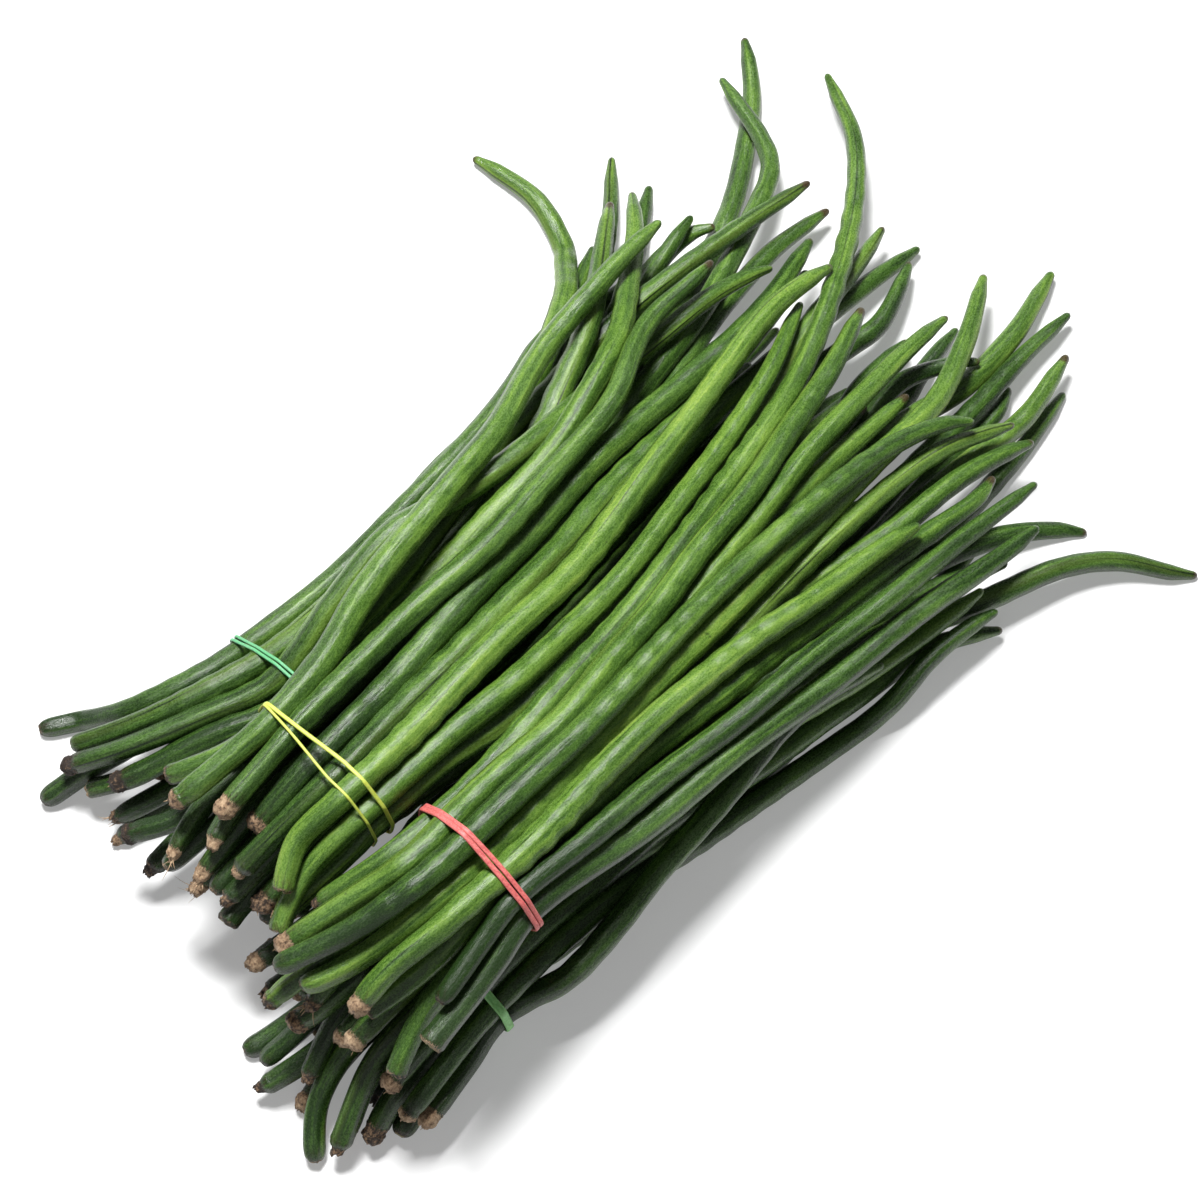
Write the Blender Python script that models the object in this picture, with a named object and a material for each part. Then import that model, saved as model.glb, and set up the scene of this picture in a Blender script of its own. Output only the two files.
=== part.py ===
"""A heap of long cowpea pods, tied in four handfuls with rubber bands, lying on its side.

The pods run along X, stem ends at -X and tips at +X. Z is up, and the heap lies on z = 0.
Paths are laid out in millimetres and turned into metres where the meshes are made.
"""

import math

import bmesh
import bpy
import numpy as np
from mathutils import Matrix

MM = 0.001
TINY = 1e-6
NEARBY = 3
SEED = 41

# The heap is laid out as it looks from above its stem ends, 1150 mm away. A traced point is
# (across, up) in millimetres of that picture, whose middle looks at the point LOOKED_AT.
LOOK_AZIMUTH = math.radians(-45)
LOOK_ELEVATION = math.radians(68)
LOOK_DISTANCE = 1150
LOOKED_AT = (0, 0, 40)
PICTURE_MIDDLE = 200
PODS_RISE = math.radians(42.8)

# The dome that the uppermost pods follow: its height along the heap, and its half width.
DOME_STATIONS = (80, 120, 175, 250, 320, 380, 440, 480)
DOME_HEIGHTS = (44, 64, 86, 76, 60, 44, 26, 16)
DOME_HALF_WIDTHS = (90, 96, 82, 80, 86, 105, 125, 130)
DOME_MIDDLE = -5
DOME_EDGE = 8
LAYER = 9.0

STATIONS = 14
NECK = 7
SWELL = 95
TAPER = 30
BEAK = 10
BEND_WEIGHT = 70
FLOOR_SQUASH = 0.86

# How the pods are spaced: the gaps that they end with, and how they are moved.
POD_GAP = 0.5
BUNDLE_GAP = 1.1
ROUNDS = 700
SETTLING_ROUNDS = 420
SINK_A_ROUND = 0.02
SHOWN_POD_YIELDS = 0.25
PUSH_A_ROUND = 0.9
SMOOTHING = (0.3, 0.03)
SPRING_BACK = (0.07, 0.002)

# A band draws its pods in over this far to each side of it, less so further from it, and the
# other bundles' pods keep clear of it.
BAND_HOLD = 24
BAND_FLARE = 0.25
BAND_DRAW = 0.5
BAND_MARGIN = 3.6
UNDER_BAND = 2.9
LOW_BUNDLES = ("mint", "green")

# The pods inside the heap: where they can pass the band, and how they fan out from it.
SLOT_ACROSS = 9.8
SLOT_UP = 8.6
SLOT_ROWS = range(-3, 2)
SLOT_COLUMNS = range(-5, 6)
SLOT_EDGE = 5
BACK_REACH = (34, 56)
FRONT_REACH = (170, 240)
FAN = ((-1, 1.3), (-0.4, 1.1), (0, 1.0), (0.25, 1.1), (0.6, 1.3), (1.0, 1.6))
FAN_RISE = 0.8
BACK_DROOP = 0.12
LEAN_SPREAD = 8
# name: (how far its tips lean toward +Y, how much of its height it keeps at the tips)
HIDDEN_LIE = {"mint": (2, 0.75), "yellow": (8, 0.45), "pink": (4, 0.42), "green": (8, 0.75)}

# A pod's radius, and how it changes from its stem end to its tip.
GIRTH = (4.6, 5.4)
THINNING = 0.3
THINNING_LATE = 1.3
NECK_SHAPE = (0.54, 0.7, 0.75, 1)
TIP_SHAPE = (0.3, 0.78, 0.95, 1)
LAYER_MARKS = (0, 0.25, 0.6, 1)

# name: (x of the band, middle y, middle z, half width, half height, pods in all)
BUNDLES = {
    "mint": (-92.5, 39.5, 23.5, 41, 21, 22),
    "yellow": (-112, 13, 68, 28, 25, 21),
    "pink": (-99, -46, 70, 25.5, 24, 19),
    "green": (-120.5, -37.5, 22.5, 41, 20, 22),
}

# Every pod that shows: its depth in layers under the dome at the stem end, at the band and
# at the tip, and the points that it is seen to pass.
SEEN = {
    "mint": [
        ((0.6, 0.3, 0.2), [
            (12, 156), (45, 165), (74, 180), (102, 201), (128, 224), (152, 248), (171, 271),
            (184, 290),
        ]),
        ((0.2, 0.0, 0.3), [
            (21, 152), (60, 169), (88, 187), (112, 203), (131, 220), (152, 240), (172, 264),
            (187, 291), (190, 306), (184, 327), (168, 342), (158, 348),
        ]),
        ((0.0, 0.0, 0.8), [
            (18, 146), (48, 159), (75, 174), (100, 190), (120, 203), (143, 218), (165, 237),
            (186, 258), (206, 276), (226, 292), (245, 304), (258, 309),
        ]),
        ((0.0, 0.0, 0.8), [
            (32, 142), (62, 157), (88, 172), (112, 189), (136, 204), (160, 221), (180, 241),
            (195, 262), (207, 288), (211, 312), (211, 333),
        ]),
        ((0.8, 0.8, 0.6), [
            (58, 149), (80, 160), (99, 174), (120, 193), (150, 218), (178, 247), (196, 275),
            (203, 304), (206, 329),
        ]),
        ((1.5, 1.5, 0.6), [
            (13, 129), (29, 141), (50, 154), (80, 168), (110, 190), (140, 214), (165, 240), (180, 268),
            (191, 296), (198, 318),
        ]),
        ((1.0, 1.3, 0.6), [
            (27, 136), (45, 141), (65, 153), (92, 170), (120, 192), (150, 220), (175, 250), (192, 280),
            (201, 312), (204, 347),
        ]),
        ((1.5, 1.8, 0.6), [
            (33, 127), (50, 138), (75, 155), (105, 178), (140, 208), (172, 242), (195, 275),
            (211, 307), (217, 339),
        ]),
        ((1.2, 2.0, 0.6), [
            (37, 124), (56, 131), (80, 152), (112, 180), (150, 215), (182, 250), (202, 281),
            (217, 308), (231, 328),
        ]),
        ((2.0, 2.6, 0.6), [
            (45, 110), (60, 126), (85, 150), (120, 183), (155, 217), (187, 252), (205, 285),
            (215, 308), (226, 320), (239, 324),
        ]),
        ((2.4, 3.0, 1.0), [
            (33, 118), (55, 135), (85, 158), (120, 186), (160, 220), (195, 257), (216, 288),
            (228, 306),
        ]),
    ],
    "yellow": [
        ((0.0, 0.0, 0.2), [
            (58, 134), (75, 147), (94, 165), (111, 184), (127, 207), (145, 227), (163, 248),
            (180, 276), (201, 303), (221, 323),
        ]),
        ((0.3, 0.8, 0.4), [
            (54, 144), (74, 152), (94, 168), (118, 190), (145, 218), (170, 249), (195, 279),
            (220, 301), (243, 320), (271, 338),
        ]),
        ((0.0, 0.0, 0.0), [
            (72, 130), (88, 148), (104, 166), (123, 184), (143, 202), (163, 220), (183, 242),
            (202, 266), (215, 292), (236, 312),
        ]),
        ((0.0, 0.0, 0.3), [
            (84, 122), (100, 139), (116, 155), (133, 173), (151, 192), (170, 214), (190, 237),
            (211, 257), (233, 277), (254, 296), (270, 321),
        ]),
        ((0.0, 0.0, 0.7), [
            (79, 106), (97, 125), (115, 143), (133, 161), (151, 179), (169, 200), (188, 220),
            (207, 242), (226, 261), (245, 283), (270, 311),
        ]),
        ((0.3, 1.0, 0.5), [
            (74, 113), (83, 130), (96, 147), (116, 167), (145, 195), (175, 226), (204, 259),
            (229, 291), (248, 321), (257, 347), (249, 362), (241, 374),
        ]),
        ((0.0, 0.0, 0.0), [
            (95, 102), (100, 118), (116, 134), (135, 153), (155, 173), (175, 194), (196, 215),
            (213, 238), (229, 260), (245, 282), (262, 301), (277, 311),
        ]),
        ((0.3, 0.4, 0.2), [
            (94, 87), (101, 104), (114, 119), (130, 136), (150, 153), (170, 169), (190, 189),
            (210, 209), (227, 231), (243, 254), (257, 275), (268, 299),
        ]),
        ((1.4, 1.6, 0.8), [
            (92, 92), (108, 106), (124, 124), (143, 140), (165, 156), (186, 176), (207, 199),
            (228, 226), (246, 252), (262, 280), (278, 302), (295, 325),
        ]),
        ((0.4, 0.9, 0.8), [
            (56, 114), (65, 130), (82, 148), (100, 167), (122, 190), (150, 216), (178, 248),
            (200, 278), (214, 308),
        ]),
        ((1.0, 1.4, 1.0), [
            (68, 103), (80, 117), (100, 137), (125, 161), (155, 190), (185, 222), (212, 256),
            (232, 290), (250, 313), (276, 332),
        ]),
        ((1.6, 1.8, 0.3), [
            (66, 99), (79, 114), (98, 134), (125, 163), (155, 193), (185, 228), (208, 262), (223, 297),
            (236, 320), (245, 344), (250, 370), (247, 389),
        ]),
        ((1.6, 1.8, 0.8), [
            (76, 96), (92, 112), (112, 130), (140, 155), (170, 184), (200, 217), (228, 250),
            (254, 278), (280, 299), (308, 320),
        ]),
        ((1.8, 2.2, 0.8), [
            (88, 93), (105, 110), (130, 135), (160, 163), (190, 195), (220, 228), (248, 258),
            (275, 280), (294, 294), (304, 314),
        ]),
        ((2.4, 2.6, 1.6), [
            (98, 90), (115, 108), (135, 127), (158, 149), (188, 179), (222, 211), (258, 243),
            (292, 272),
        ]),
    ],
    "pink": [
        ((0.5, 0.3, 0.2), [
            (104, 97), (125, 110), (146, 127), (170, 151), (190, 171), (206, 192), (223, 213),
            (241, 237), (257, 259), (270, 284), (280, 309), (285, 336), (284, 356), (276, 376),
        ]),
        ((0.2, 0.0, 0.0), [
            (93, 83), (113, 96), (134, 110), (152, 127), (172, 146), (192, 164), (209, 185),
            (226, 207), (243, 228), (259, 250), (274, 273), (288, 297),
        ]),
        ((0.0, 0.0, 0.0), [
            (92, 78), (111, 86), (131, 100), (151, 117), (171, 135), (191, 154), (209, 174),
            (229, 194), (249, 213), (269, 231), (289, 246), (309, 257), (324, 259),
        ]),
        ((0.0, 0.0, 0.5), [
            (100, 72), (117, 79), (135, 92), (153, 107), (171, 125), (189, 143), (207, 163),
            (226, 181), (246, 200), (264, 219), (282, 237), (300, 254), (314, 270), (323, 288),
            (328, 309),
        ]),
        ((0.0, 0.0, 0.0), [
            (118, 63), (127, 75), (145, 89), (163, 106), (181, 123), (199, 141), (217, 160),
            (237, 176), (257, 191), (277, 205), (306, 225),
        ]),
        ((0.3, 0.3, 0.6), [
            (123, 62), (140, 75), (158, 93), (176, 112), (194, 129), (212, 146), (231, 162),
            (255, 180), (280, 199), (305, 219), (323, 231), (331, 241),
        ]),
        ((1.0, 1.2, 0.2), [
            (117, 50), (130, 64), (150, 84), (172, 109), (196, 135), (220, 162), (243, 187),
            (265, 209), (290, 233), (315, 250), (338, 259),
        ]),
        ((0.3, 0.3, 0.2), [
            (130, 42), (138, 60), (152, 80), (168, 99), (190, 119), (220, 143), (245, 161), (270, 176),
            (297, 189), (320, 206),
        ]),
        ((0.8, 0.8, 0.4), [
            (140, 56), (150, 68), (165, 86), (184, 104), (210, 127), (235, 143), (262, 159),
            (285, 172), (305, 186), (328, 204),
        ]),
        ((1.2, 1.2, 0.2), [
            (90, 64), (105, 77), (130, 97), (160, 123), (190, 152), (216, 182), (240, 211), (260, 237),
            (280, 260), (300, 281), (316, 294),
        ]),
        ((1.0, 1.4, 0.3), [
            (104, 62), (114, 77), (130, 93), (152, 112), (178, 138), (205, 168), (230, 197),
            (252, 222), (275, 243), (303, 269),
        ]),
        ((1.4, 1.8, 0.3), [
            (94, 57), (110, 68), (135, 88), (160, 108), (190, 136), (225, 168), (255, 192), (285, 213),
            (310, 231), (330, 246), (345, 253),
        ]),
        ((1.4, 2.2, 0.5), [
            (112, 52), (130, 71), (155, 94), (185, 122), (215, 151), (250, 183), (285, 213),
            (315, 240), (342, 262), (357, 282),
        ]),
        ((1.8, 2.4, 0.5), [
            (97, 67), (116, 82), (145, 107), (175, 134), (210, 167), (245, 201), (275, 232),
            (300, 258), (322, 273), (339, 289), (352, 311),
        ]),
    ],
    "green": [
        ((0.4, 0.3, 0.2), [
            (133, 25), (149, 46), (167, 67), (188, 87), (213, 107), (241, 125), (269, 145), (294, 164),
            (315, 186), (333, 197),
        ]),
        ((0.6, 1.0, 0.4), [
            (129, 33), (145, 50), (163, 69), (182, 88), (200, 105), (220, 122), (241, 136), (265, 151),
            (288, 168), (312, 184), (336, 190),
        ]),
        ((0.6, 0.6, 0.8), [
            (141, 22), (156, 41), (170, 62), (190, 85), (214, 112), (238, 137), (260, 160), (278, 173),
            (293, 180),
        ]),
        ((1.2, 1.6, 0.5), [
            (104, 9), (104, 24), (113, 43), (131, 63), (155, 87), (185, 117), (220, 146), (255, 170),
            (285, 187), (312, 201), (338, 211),
        ]),
        ((0.8, 1.2, 0.1), [
            (109, 14), (117, 35), (131, 56), (153, 79), (181, 107), (216, 138), (250, 163), (285, 182),
            (316, 195), (346, 208), (370, 213), (400, 207),
        ]),
        ((1.6, 1.8, 0.4), [
            (114, 12), (124, 36), (142, 59), (168, 85), (198, 115), (230, 147), (262, 176), (292, 200),
            (320, 222), (342, 245), (358, 268),
        ]),
        ((1.4, 1.6, 0.3), [
            (122, 17), (131, 35), (147, 55), (170, 80), (200, 109), (232, 141), (264, 173), (290, 197),
            (313, 214), (336, 222), (352, 224), (365, 223),
        ]),
        ((1.0, 2.4, 0.5), [
            (103, 34), (111, 52), (127, 71), (152, 95), (182, 124), (216, 157), (250, 189), (280, 218),
            (308, 248), (330, 272), (356, 297),
        ]),
        ((2.6, 3.4, 0.8), [
            (85, 34), (102, 43), (123, 63), (152, 92), (186, 124), (220, 158), (255, 193), (285, 222),
            (312, 245), (331, 260), (338, 272),
        ]),
        ((2.4, 3.2, 0.8), [
            (88, 41), (108, 58), (135, 83), (170, 115), (205, 152), (240, 192), (270, 228), (291, 261),
            (308, 275), (328, 276),
        ]),
        ((2.6, 3.4, 1.0), [
            (80, 45), (95, 54), (117, 71), (147, 96), (182, 127), (215, 162), (246, 202), (268, 240),
            (285, 272), (302, 287),
        ]),
        ((2.8, 3.4, 1.0), [
            (98, 26), (115, 47), (140, 73), (175, 107), (210, 144), (245, 184), (275, 226), (298, 262),
            (310, 279), (320, 292),
        ]),
    ],
}

POD_COLOUR = {
    "mint": (0.060, 0.135, 0.040, 1),
    "yellow": (0.115, 0.230, 0.055, 1),
    "pink": (0.130, 0.250, 0.065, 1),
    "green": (0.050, 0.105, 0.030, 1),
}
BAND_COLOUR = {
    "mint": (0.190, 0.640, 0.310, 1),
    "yellow": (0.740, 0.760, 0.100, 1),
    "pink": (0.870, 0.240, 0.200, 1),
    "green": (0.260, 0.610, 0.200, 1),
}
TUBE_SIDES = 6
CORE_HALF_LENGTH = 13
BAND_THICK = 1.4
BAND_CLEAR = 0.4
RIM_POINTS = 11
RIM_LEAST_STEP = 1.2
BAND_WIDE = {"mint": 4.2, "yellow": 4.2, "pink": 4.6, "green": 3.6}
BAND_REACH = 4
POD_ROUGHNESS = 0.4
BAND_ROUGHNESS = 0.55


def look_axes():
    """The directions toward the eye, to its right and up its picture."""
    azimuth, elevation = LOOK_AZIMUTH, LOOK_ELEVATION
    back = np.array([
        math.sin(azimuth) * math.cos(elevation),
        -math.cos(azimuth) * math.cos(elevation),
        math.sin(elevation),
    ])
    right = np.array([math.cos(azimuth), math.sin(azimuth), 0.0])
    return back, right, np.cross(back, right)


BACK, RIGHT, UP = look_axes()


def seen_at(across, up, height):
    """The points at these heights that are seen at these places of the picture."""
    eye = np.array(LOOKED_AT) + BACK * LOOK_DISTANCE
    ray = (
        -BACK * LOOK_DISTANCE
        + np.multiply.outer(across - PICTURE_MIDDLE, RIGHT)
        + np.multiply.outer(up - PICTURE_MIDDLE, UP)
    )
    reach = (height - eye[2]) / ray[:, 2]
    return eye + ray * reach[:, None]


def dome_height(across, up):
    """How high the uppermost pods lie where they are seen at this place of the picture."""
    run, rise = math.cos(PODS_RISE), math.sin(PODS_RISE)
    along = run * across + rise * up
    aside = rise * across - run * up
    peak = np.interp(along, DOME_STATIONS, DOME_HEIGHTS)
    half_width = np.interp(along, DOME_STATIONS, DOME_HALF_WIDTHS)
    share = np.clip((aside - DOME_MIDDLE) / half_width, -1, 1)
    return DOME_EDGE + (peak - DOME_EDGE) * np.sqrt(1 - share**2)


def curve_through(points, per_span=10):
    """A smooth line through the points, close together (a centripetal Catmull-Rom curve)."""
    knots = np.asarray(points, float)
    knots = np.vstack([2 * knots[0] - knots[1], knots, 2 * knots[-1] - knots[-2]])
    times = np.concatenate([[0], np.cumsum(np.linalg.norm(np.diff(knots, axis=0), axis=1) ** 0.5)])
    line = []
    for i in range(1, len(knots) - 2):
        t = np.linspace(times[i], times[i + 1], per_span, endpoint=False)[:, None]
        t0, t1, t2, t3 = times[i - 1 : i + 3]
        a1 = ((t1 - t) * knots[i - 1] + (t - t0) * knots[i]) / (t1 - t0)
        a2 = ((t2 - t) * knots[i] + (t - t1) * knots[i + 1]) / (t2 - t1)
        a3 = ((t3 - t) * knots[i + 1] + (t - t2) * knots[i + 2]) / (t3 - t2)
        b1 = ((t2 - t) * a1 + (t - t0) * a2) / (t2 - t0)
        b2 = ((t3 - t) * a2 + (t - t1) * a3) / (t3 - t1)
        line.append(((t2 - t) * b1 + (t - t1) * b2) / (t2 - t1))
    line.append(knots[-2:-1])
    return np.vstack(line)


def along_line(line):
    return np.concatenate([[0], np.cumsum(np.linalg.norm(np.diff(line, axis=0), axis=1))])


def in_stations(line):
    """The line as STATIONS points: its ends, its neck, its taper, and the rest closer where it bends."""
    length = along_line(line)
    ahead = np.diff(line, axis=0)
    ahead /= np.linalg.norm(ahead, axis=1)[:, None]
    turn = np.concatenate([[0], np.arccos(np.clip((ahead[1:] * ahead[:-1]).sum(axis=1), -1, 1)), [0]])
    effort = length + BEND_WEIGHT * np.cumsum(turn)
    first, last = np.interp([NECK, length[-1] - TAPER], length, effort)
    inner = np.interp(np.linspace(first, last, STATIONS - 3), effort, length)
    marks = np.concatenate([[0], inner, [length[-1] - BEAK, length[-1]]])
    return np.stack([np.interp(marks, length, line[:, i]) for i in range(3)], axis=1)


def seen_path(layers, points):
    flat = curve_through(points)
    across, up = flat[:, 0], flat[:, 1]
    share = along_line(flat)
    share /= share[-1]
    stem, band, tip = layers
    layer = np.interp(share, LAYER_MARKS, (stem, band, band, tip))
    height = np.maximum(dome_height(across, up) - LAYER * layer, DOME_EDGE)
    return in_stations(seen_at(across, up, height))


def at_x(path, x):
    """Where the path, which runs along X, passes this x."""
    after = int(np.argmax(path[:, 0] > x))
    before = path[after - 1]
    share = (x - before[0]) / (path[after][0] - before[0])
    return before + share * (path[after] - before)


def free_slots(name, taken, count):
    """Places in the bundle's band that are furthest from those already taken."""
    _, y, z, half_width, half_height, _ = BUNDLES[name]
    slots = []
    for row in SLOT_ROWS:
        for column in SLOT_COLUMNS:
            side, rise = SLOT_ACROSS * (column + 0.5 * (row % 2)), SLOT_UP * row
            if np.hypot(side / (half_width - SLOT_EDGE), rise / (half_height - SLOT_EDGE)) < 1:
                slots.append(np.array([y + side, z + rise]))
    chosen = []
    taken = list(taken)
    for _ in range(count):
        best = max(slots, key=lambda slot: min(np.linalg.norm(slot - other) for other in taken))
        chosen.append(best)
        taken.append(best)
    return chosen


def hidden_path(name, slot, draw):
    """A pod inside the heap: it leaves the band at its slot, and fans out toward both ends."""
    x, y, z, *_ = BUNDLES[name]
    back, front = draw.uniform(*BACK_REACH), draw.uniform(*FRONT_REACH)
    side, rise = slot[0] - y, slot[1] - z
    lean, low = HIDDEN_LIE[name]
    lean += draw.uniform(-LEAN_SPREAD, LEAN_SPREAD)
    points = []
    for step, spread in FAN:
        if step < 0:
            reach, sink = back, 1 + BACK_DROOP * step
        else:
            reach, sink = front, 1 - (1 - low) * step
        up = spread * rise * (FAN_RISE if step else 1)
        points.append((
            x + step * reach,
            y + spread * side + lean * max(step, 0),
            max(z * sink + up, DOME_EDGE),
        ))
    return in_stations(curve_through(points))


def lay_out():
    """Every pod's path, bundle, radius and whether it shows, before they are spaced."""
    draw = np.random.default_rng(SEED)
    paths, bundles, seen = [], [], []
    for number, (name, (x, *_, total)) in enumerate(BUNDLES.items()):
        shown = [seen_path(*pod) for pod in SEEN[name]]
        taken = [at_x(path, x)[1:] for path in shown]
        hidden = [hidden_path(name, slot, draw) for slot in free_slots(name, taken, total - len(shown))]
        paths += shown + hidden
        bundles += [number] * total
        seen += [True] * len(shown) + [False] * len(hidden)
    paths = np.array(paths)
    girth = draw.uniform(*GIRTH, len(paths))
    return paths, np.array(bundles), np.array(seen), girth


def radii_along(paths, girth):
    """Each station's radius: a neck at the stem end, a slight thinning, and a tapered beak."""
    length = np.linalg.norm(np.diff(paths, axis=1), axis=2)
    place = np.concatenate([np.zeros((len(paths), 1)), np.cumsum(length, axis=1)], axis=1)
    whole = place[:, -1:]
    left = whole - place
    body = 1 - THINNING * (place / whole) ** THINNING_LATE
    neck = np.interp(place, (0, NECK, 3 * NECK, SWELL), NECK_SHAPE)
    tip = np.interp(left, (0, BEAK, TAPER, 2 * TAPER), TIP_SHAPE)
    return girth[:, None] * body * neck * tip


def nearest_points(a0, a1, b0, b1):
    """How far along each pair of straight pieces their nearest points lie."""
    d1, d2, r = a1 - a0, b1 - b0, a0 - b0
    a, e = (d1 * d1).sum(1), (d2 * d2).sum(1)
    b, c, f = (d1 * d2).sum(1), (d1 * r).sum(1), (d2 * r).sum(1)
    s = np.clip((b * f - c * e) / np.maximum(a * e - b * b, TINY), 0, 1)
    t = np.clip((b * s + f) / e, 0, 1)
    s = np.clip((b * t - c) / a, 0, 1)
    return s, t


def near_pairs(paths, radii):
    """Pairs of straight pieces, of different pods, that come near each other."""
    middle = (paths[:, 1:] + paths[:, :-1]).reshape(-1, 3) / 2
    half = np.linalg.norm(paths[:, 1:] - paths[:, :-1], axis=2).ravel() / 2
    pod = np.repeat(np.arange(len(paths)), paths.shape[1] - 1)
    reach = half + radii[:, 1:].ravel() + NEARBY
    square = (middle**2).sum(1)
    apart = square[:, None] + square[None] - 2 * middle @ middle.T
    near = apart < (reach[:, None] + reach[None]) ** 2
    first, second = np.nonzero(np.triu(near, 1))
    other = pod[first] != pod[second]
    return first[other], second[other], pod


def squeeze_in_bands(paths, radii, bundles):
    """Draws each bundle's pods into its band, and keeps the other bundles' pods out of it."""
    for number, (x, y, z, half_width, half_height, _) in enumerate(BUNDLES.values()):
        own = bundles == number
        away = (paths[:, :, 0] - x) / BAND_HOLD
        near = np.abs(away) < 1
        side, rise = paths[:, :, 1] - y, paths[:, :, 2] - z
        room = 1 + BAND_FLARE * away**2
        share = np.hypot(side / (half_width - radii), rise / (half_height - radii)) / room
        pull = near & own[:, None] & (share > 1)
        factor = np.where(pull, 1 - BAND_DRAW * (1 - 1 / np.maximum(share, TINY)), 1)
        margin = radii + BAND_MARGIN
        share = np.hypot(side / (half_width + margin), rise / (half_height + margin))
        push = near & ~own[:, None] & (share < 1)
        factor = np.where(push, 1 + BAND_DRAW * (1 / np.maximum(share, BAND_DRAW) - 1), factor)
        paths[:, :, 1] = y + side * factor
        paths[:, :, 2] = z + rise * factor


def pieces_in_reach(paths, radii, bundles, yielding):
    """Pairs of pods' straight pieces to keep apart: pods, places, the gap, and the first's share."""
    first, second, pod = near_pairs(paths, radii)
    a_pod, b_pod = pod[first], pod[second]
    a_at, b_at = first % (STATIONS - 1), second % (STATIONS - 1)
    gap = np.where(bundles[a_pod] == bundles[b_pod], POD_GAP, BUNDLE_GAP)
    a_share = yielding[a_pod] / (yielding[a_pod] + yielding[b_pod])
    return a_pod, b_pod, a_at, b_at, gap, a_share


def pushed_apart(paths, radii, pieces):
    """The paths after each pair of pieces that is too close has moved apart."""
    a_pod, b_pod, a_at, b_at, gap, a_share = pieces
    a0, a1 = paths[a_pod, a_at], paths[a_pod, a_at + 1]
    b0, b1 = paths[b_pod, b_at], paths[b_pod, b_at + 1]
    s, t = nearest_points(a0, a1, b0, b1)
    between = a0 + s[:, None] * (a1 - a0) - b0 - t[:, None] * (b1 - b0)
    apart = np.linalg.norm(between, axis=1)
    a_radius = (1 - s) * radii[a_pod, a_at] + s * radii[a_pod, a_at + 1]
    b_radius = (1 - t) * radii[b_pod, b_at] + t * radii[b_pod, b_at + 1]
    need = a_radius + b_radius + gap - apart
    hit = need > 0
    push = between[hit] / np.maximum(apart[hit], TINY)[:, None] * need[hit][:, None]
    moved = np.zeros_like(paths)
    weight = np.zeros(paths.shape[:2])
    for pods, at, part, sign in (
        (a_pod[hit], a_at[hit], s[hit], a_share[hit]),
        (b_pod[hit], b_at[hit], t[hit], a_share[hit] - 1),
    ):
        for step, share in ((0, 1 - part), (1, part)):
            np.add.at(moved, (pods, at + step), push * (sign * share)[:, None])
            np.add.at(weight, (pods, at + step), share)
    return paths + PUSH_A_ROUND * moved / np.maximum(weight, 1)[:, :, None]


def least_height(paths, radii, bundles):
    """How high each station has to be: on the surface, or on the band that passes under it."""
    height = radii * FLOOR_SQUASH
    for number, (name, (x, *_)) in enumerate(BUNDLES.items()):
        if name in LOW_BUNDLES:
            beside = np.abs(paths[:, :, 0] - x) < BAND_HOLD
            height += UNDER_BAND * (beside & (bundles == number)[:, None])
    return height


def space_apart(paths, bundles, seen, girth):
    """Moves the pods, a little at a time, until none runs into another and all lie in the heap.

    A pod that shows gives way mostly toward or from the eye, so that it stays where it is seen.
    """
    target = paths.copy()
    paths = paths.copy()
    shown = seen[:, None, None]
    yielding = np.where(seen, SHOWN_POD_YIELDS, 1)
    for turn in range(ROUNDS):
        settling = turn < SETTLING_ROUNDS
        radii = radii_along(paths, girth)
        if turn % 5 == 0:
            pieces = pieces_in_reach(paths, radii, bundles, yielding)
        paths = pushed_apart(paths, radii, pieces)
        if settling:
            paths -= SINK_A_ROUND * np.where(shown, BACK, (0, 0, 1))
        squeeze_in_bands(paths, radii, bundles)
        shift = paths - target
        ease = SMOOTHING[0] if settling else SMOOTHING[1]
        shift[:, 1:-1] += ease * ((shift[:, 2:] + shift[:, :-2]) / 2 - shift[:, 1:-1])
        shift[:, 0] += ease * (shift[:, 1] - shift[:, 0])
        shift[:, -1] += ease * (shift[:, -2] - shift[:, -1])
        if settling:
            depth = (shift @ BACK)[:, :, None] * BACK
            shift -= np.where(shown, *SPRING_BACK) * (shift - depth)
        paths = target + shift
        paths[:, :, 2] = np.maximum(paths[:, :, 2], least_height(paths, radii, bundles))
    return paths


def hull_round(points):
    """The convex outline round these points of a plane, anticlockwise."""
    order = sorted(map(tuple, points))

    def chain(ordered):
        kept = []
        for p in ordered:
            while len(kept) > 1:
                (ax, ay), (bx, by) = kept[-2], kept[-1]
                if (bx - ax) * (p[1] - ay) - (by - ay) * (p[0] - ax) > 0:
                    break
                kept.pop()
            kept.append(p)
        return kept[:-1]

    return np.array(chain(order) + chain(order[::-1]))


def band_line(name, paths, radii):
    """The loop that a band follows: round its pods where they pass it, a little clear of them."""
    x = BUNDLES[name][0]
    turn = np.linspace(0, 2 * math.pi, RIM_POINTS, endpoint=False)
    circle = np.stack([np.cos(turn), np.sin(turn)], axis=1) / math.cos(math.pi / RIM_POINTS)
    rim = []
    for path, radius in zip(paths, radii):
        for reach in (-BAND_REACH, 0, BAND_REACH):
            y, z = at_x(path, x + reach)[1:]
            thick = np.interp(x + reach, path[:, 0], radius) + BAND_CLEAR + BAND_THICK / 2
            rim.append(np.array([y, z]) + thick * circle)
    outline = hull_round(np.vstack(rim))
    apart = np.linalg.norm(outline - np.roll(outline, 1, axis=0), axis=1)
    return outline[apart > RIM_LEAST_STEP]


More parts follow.
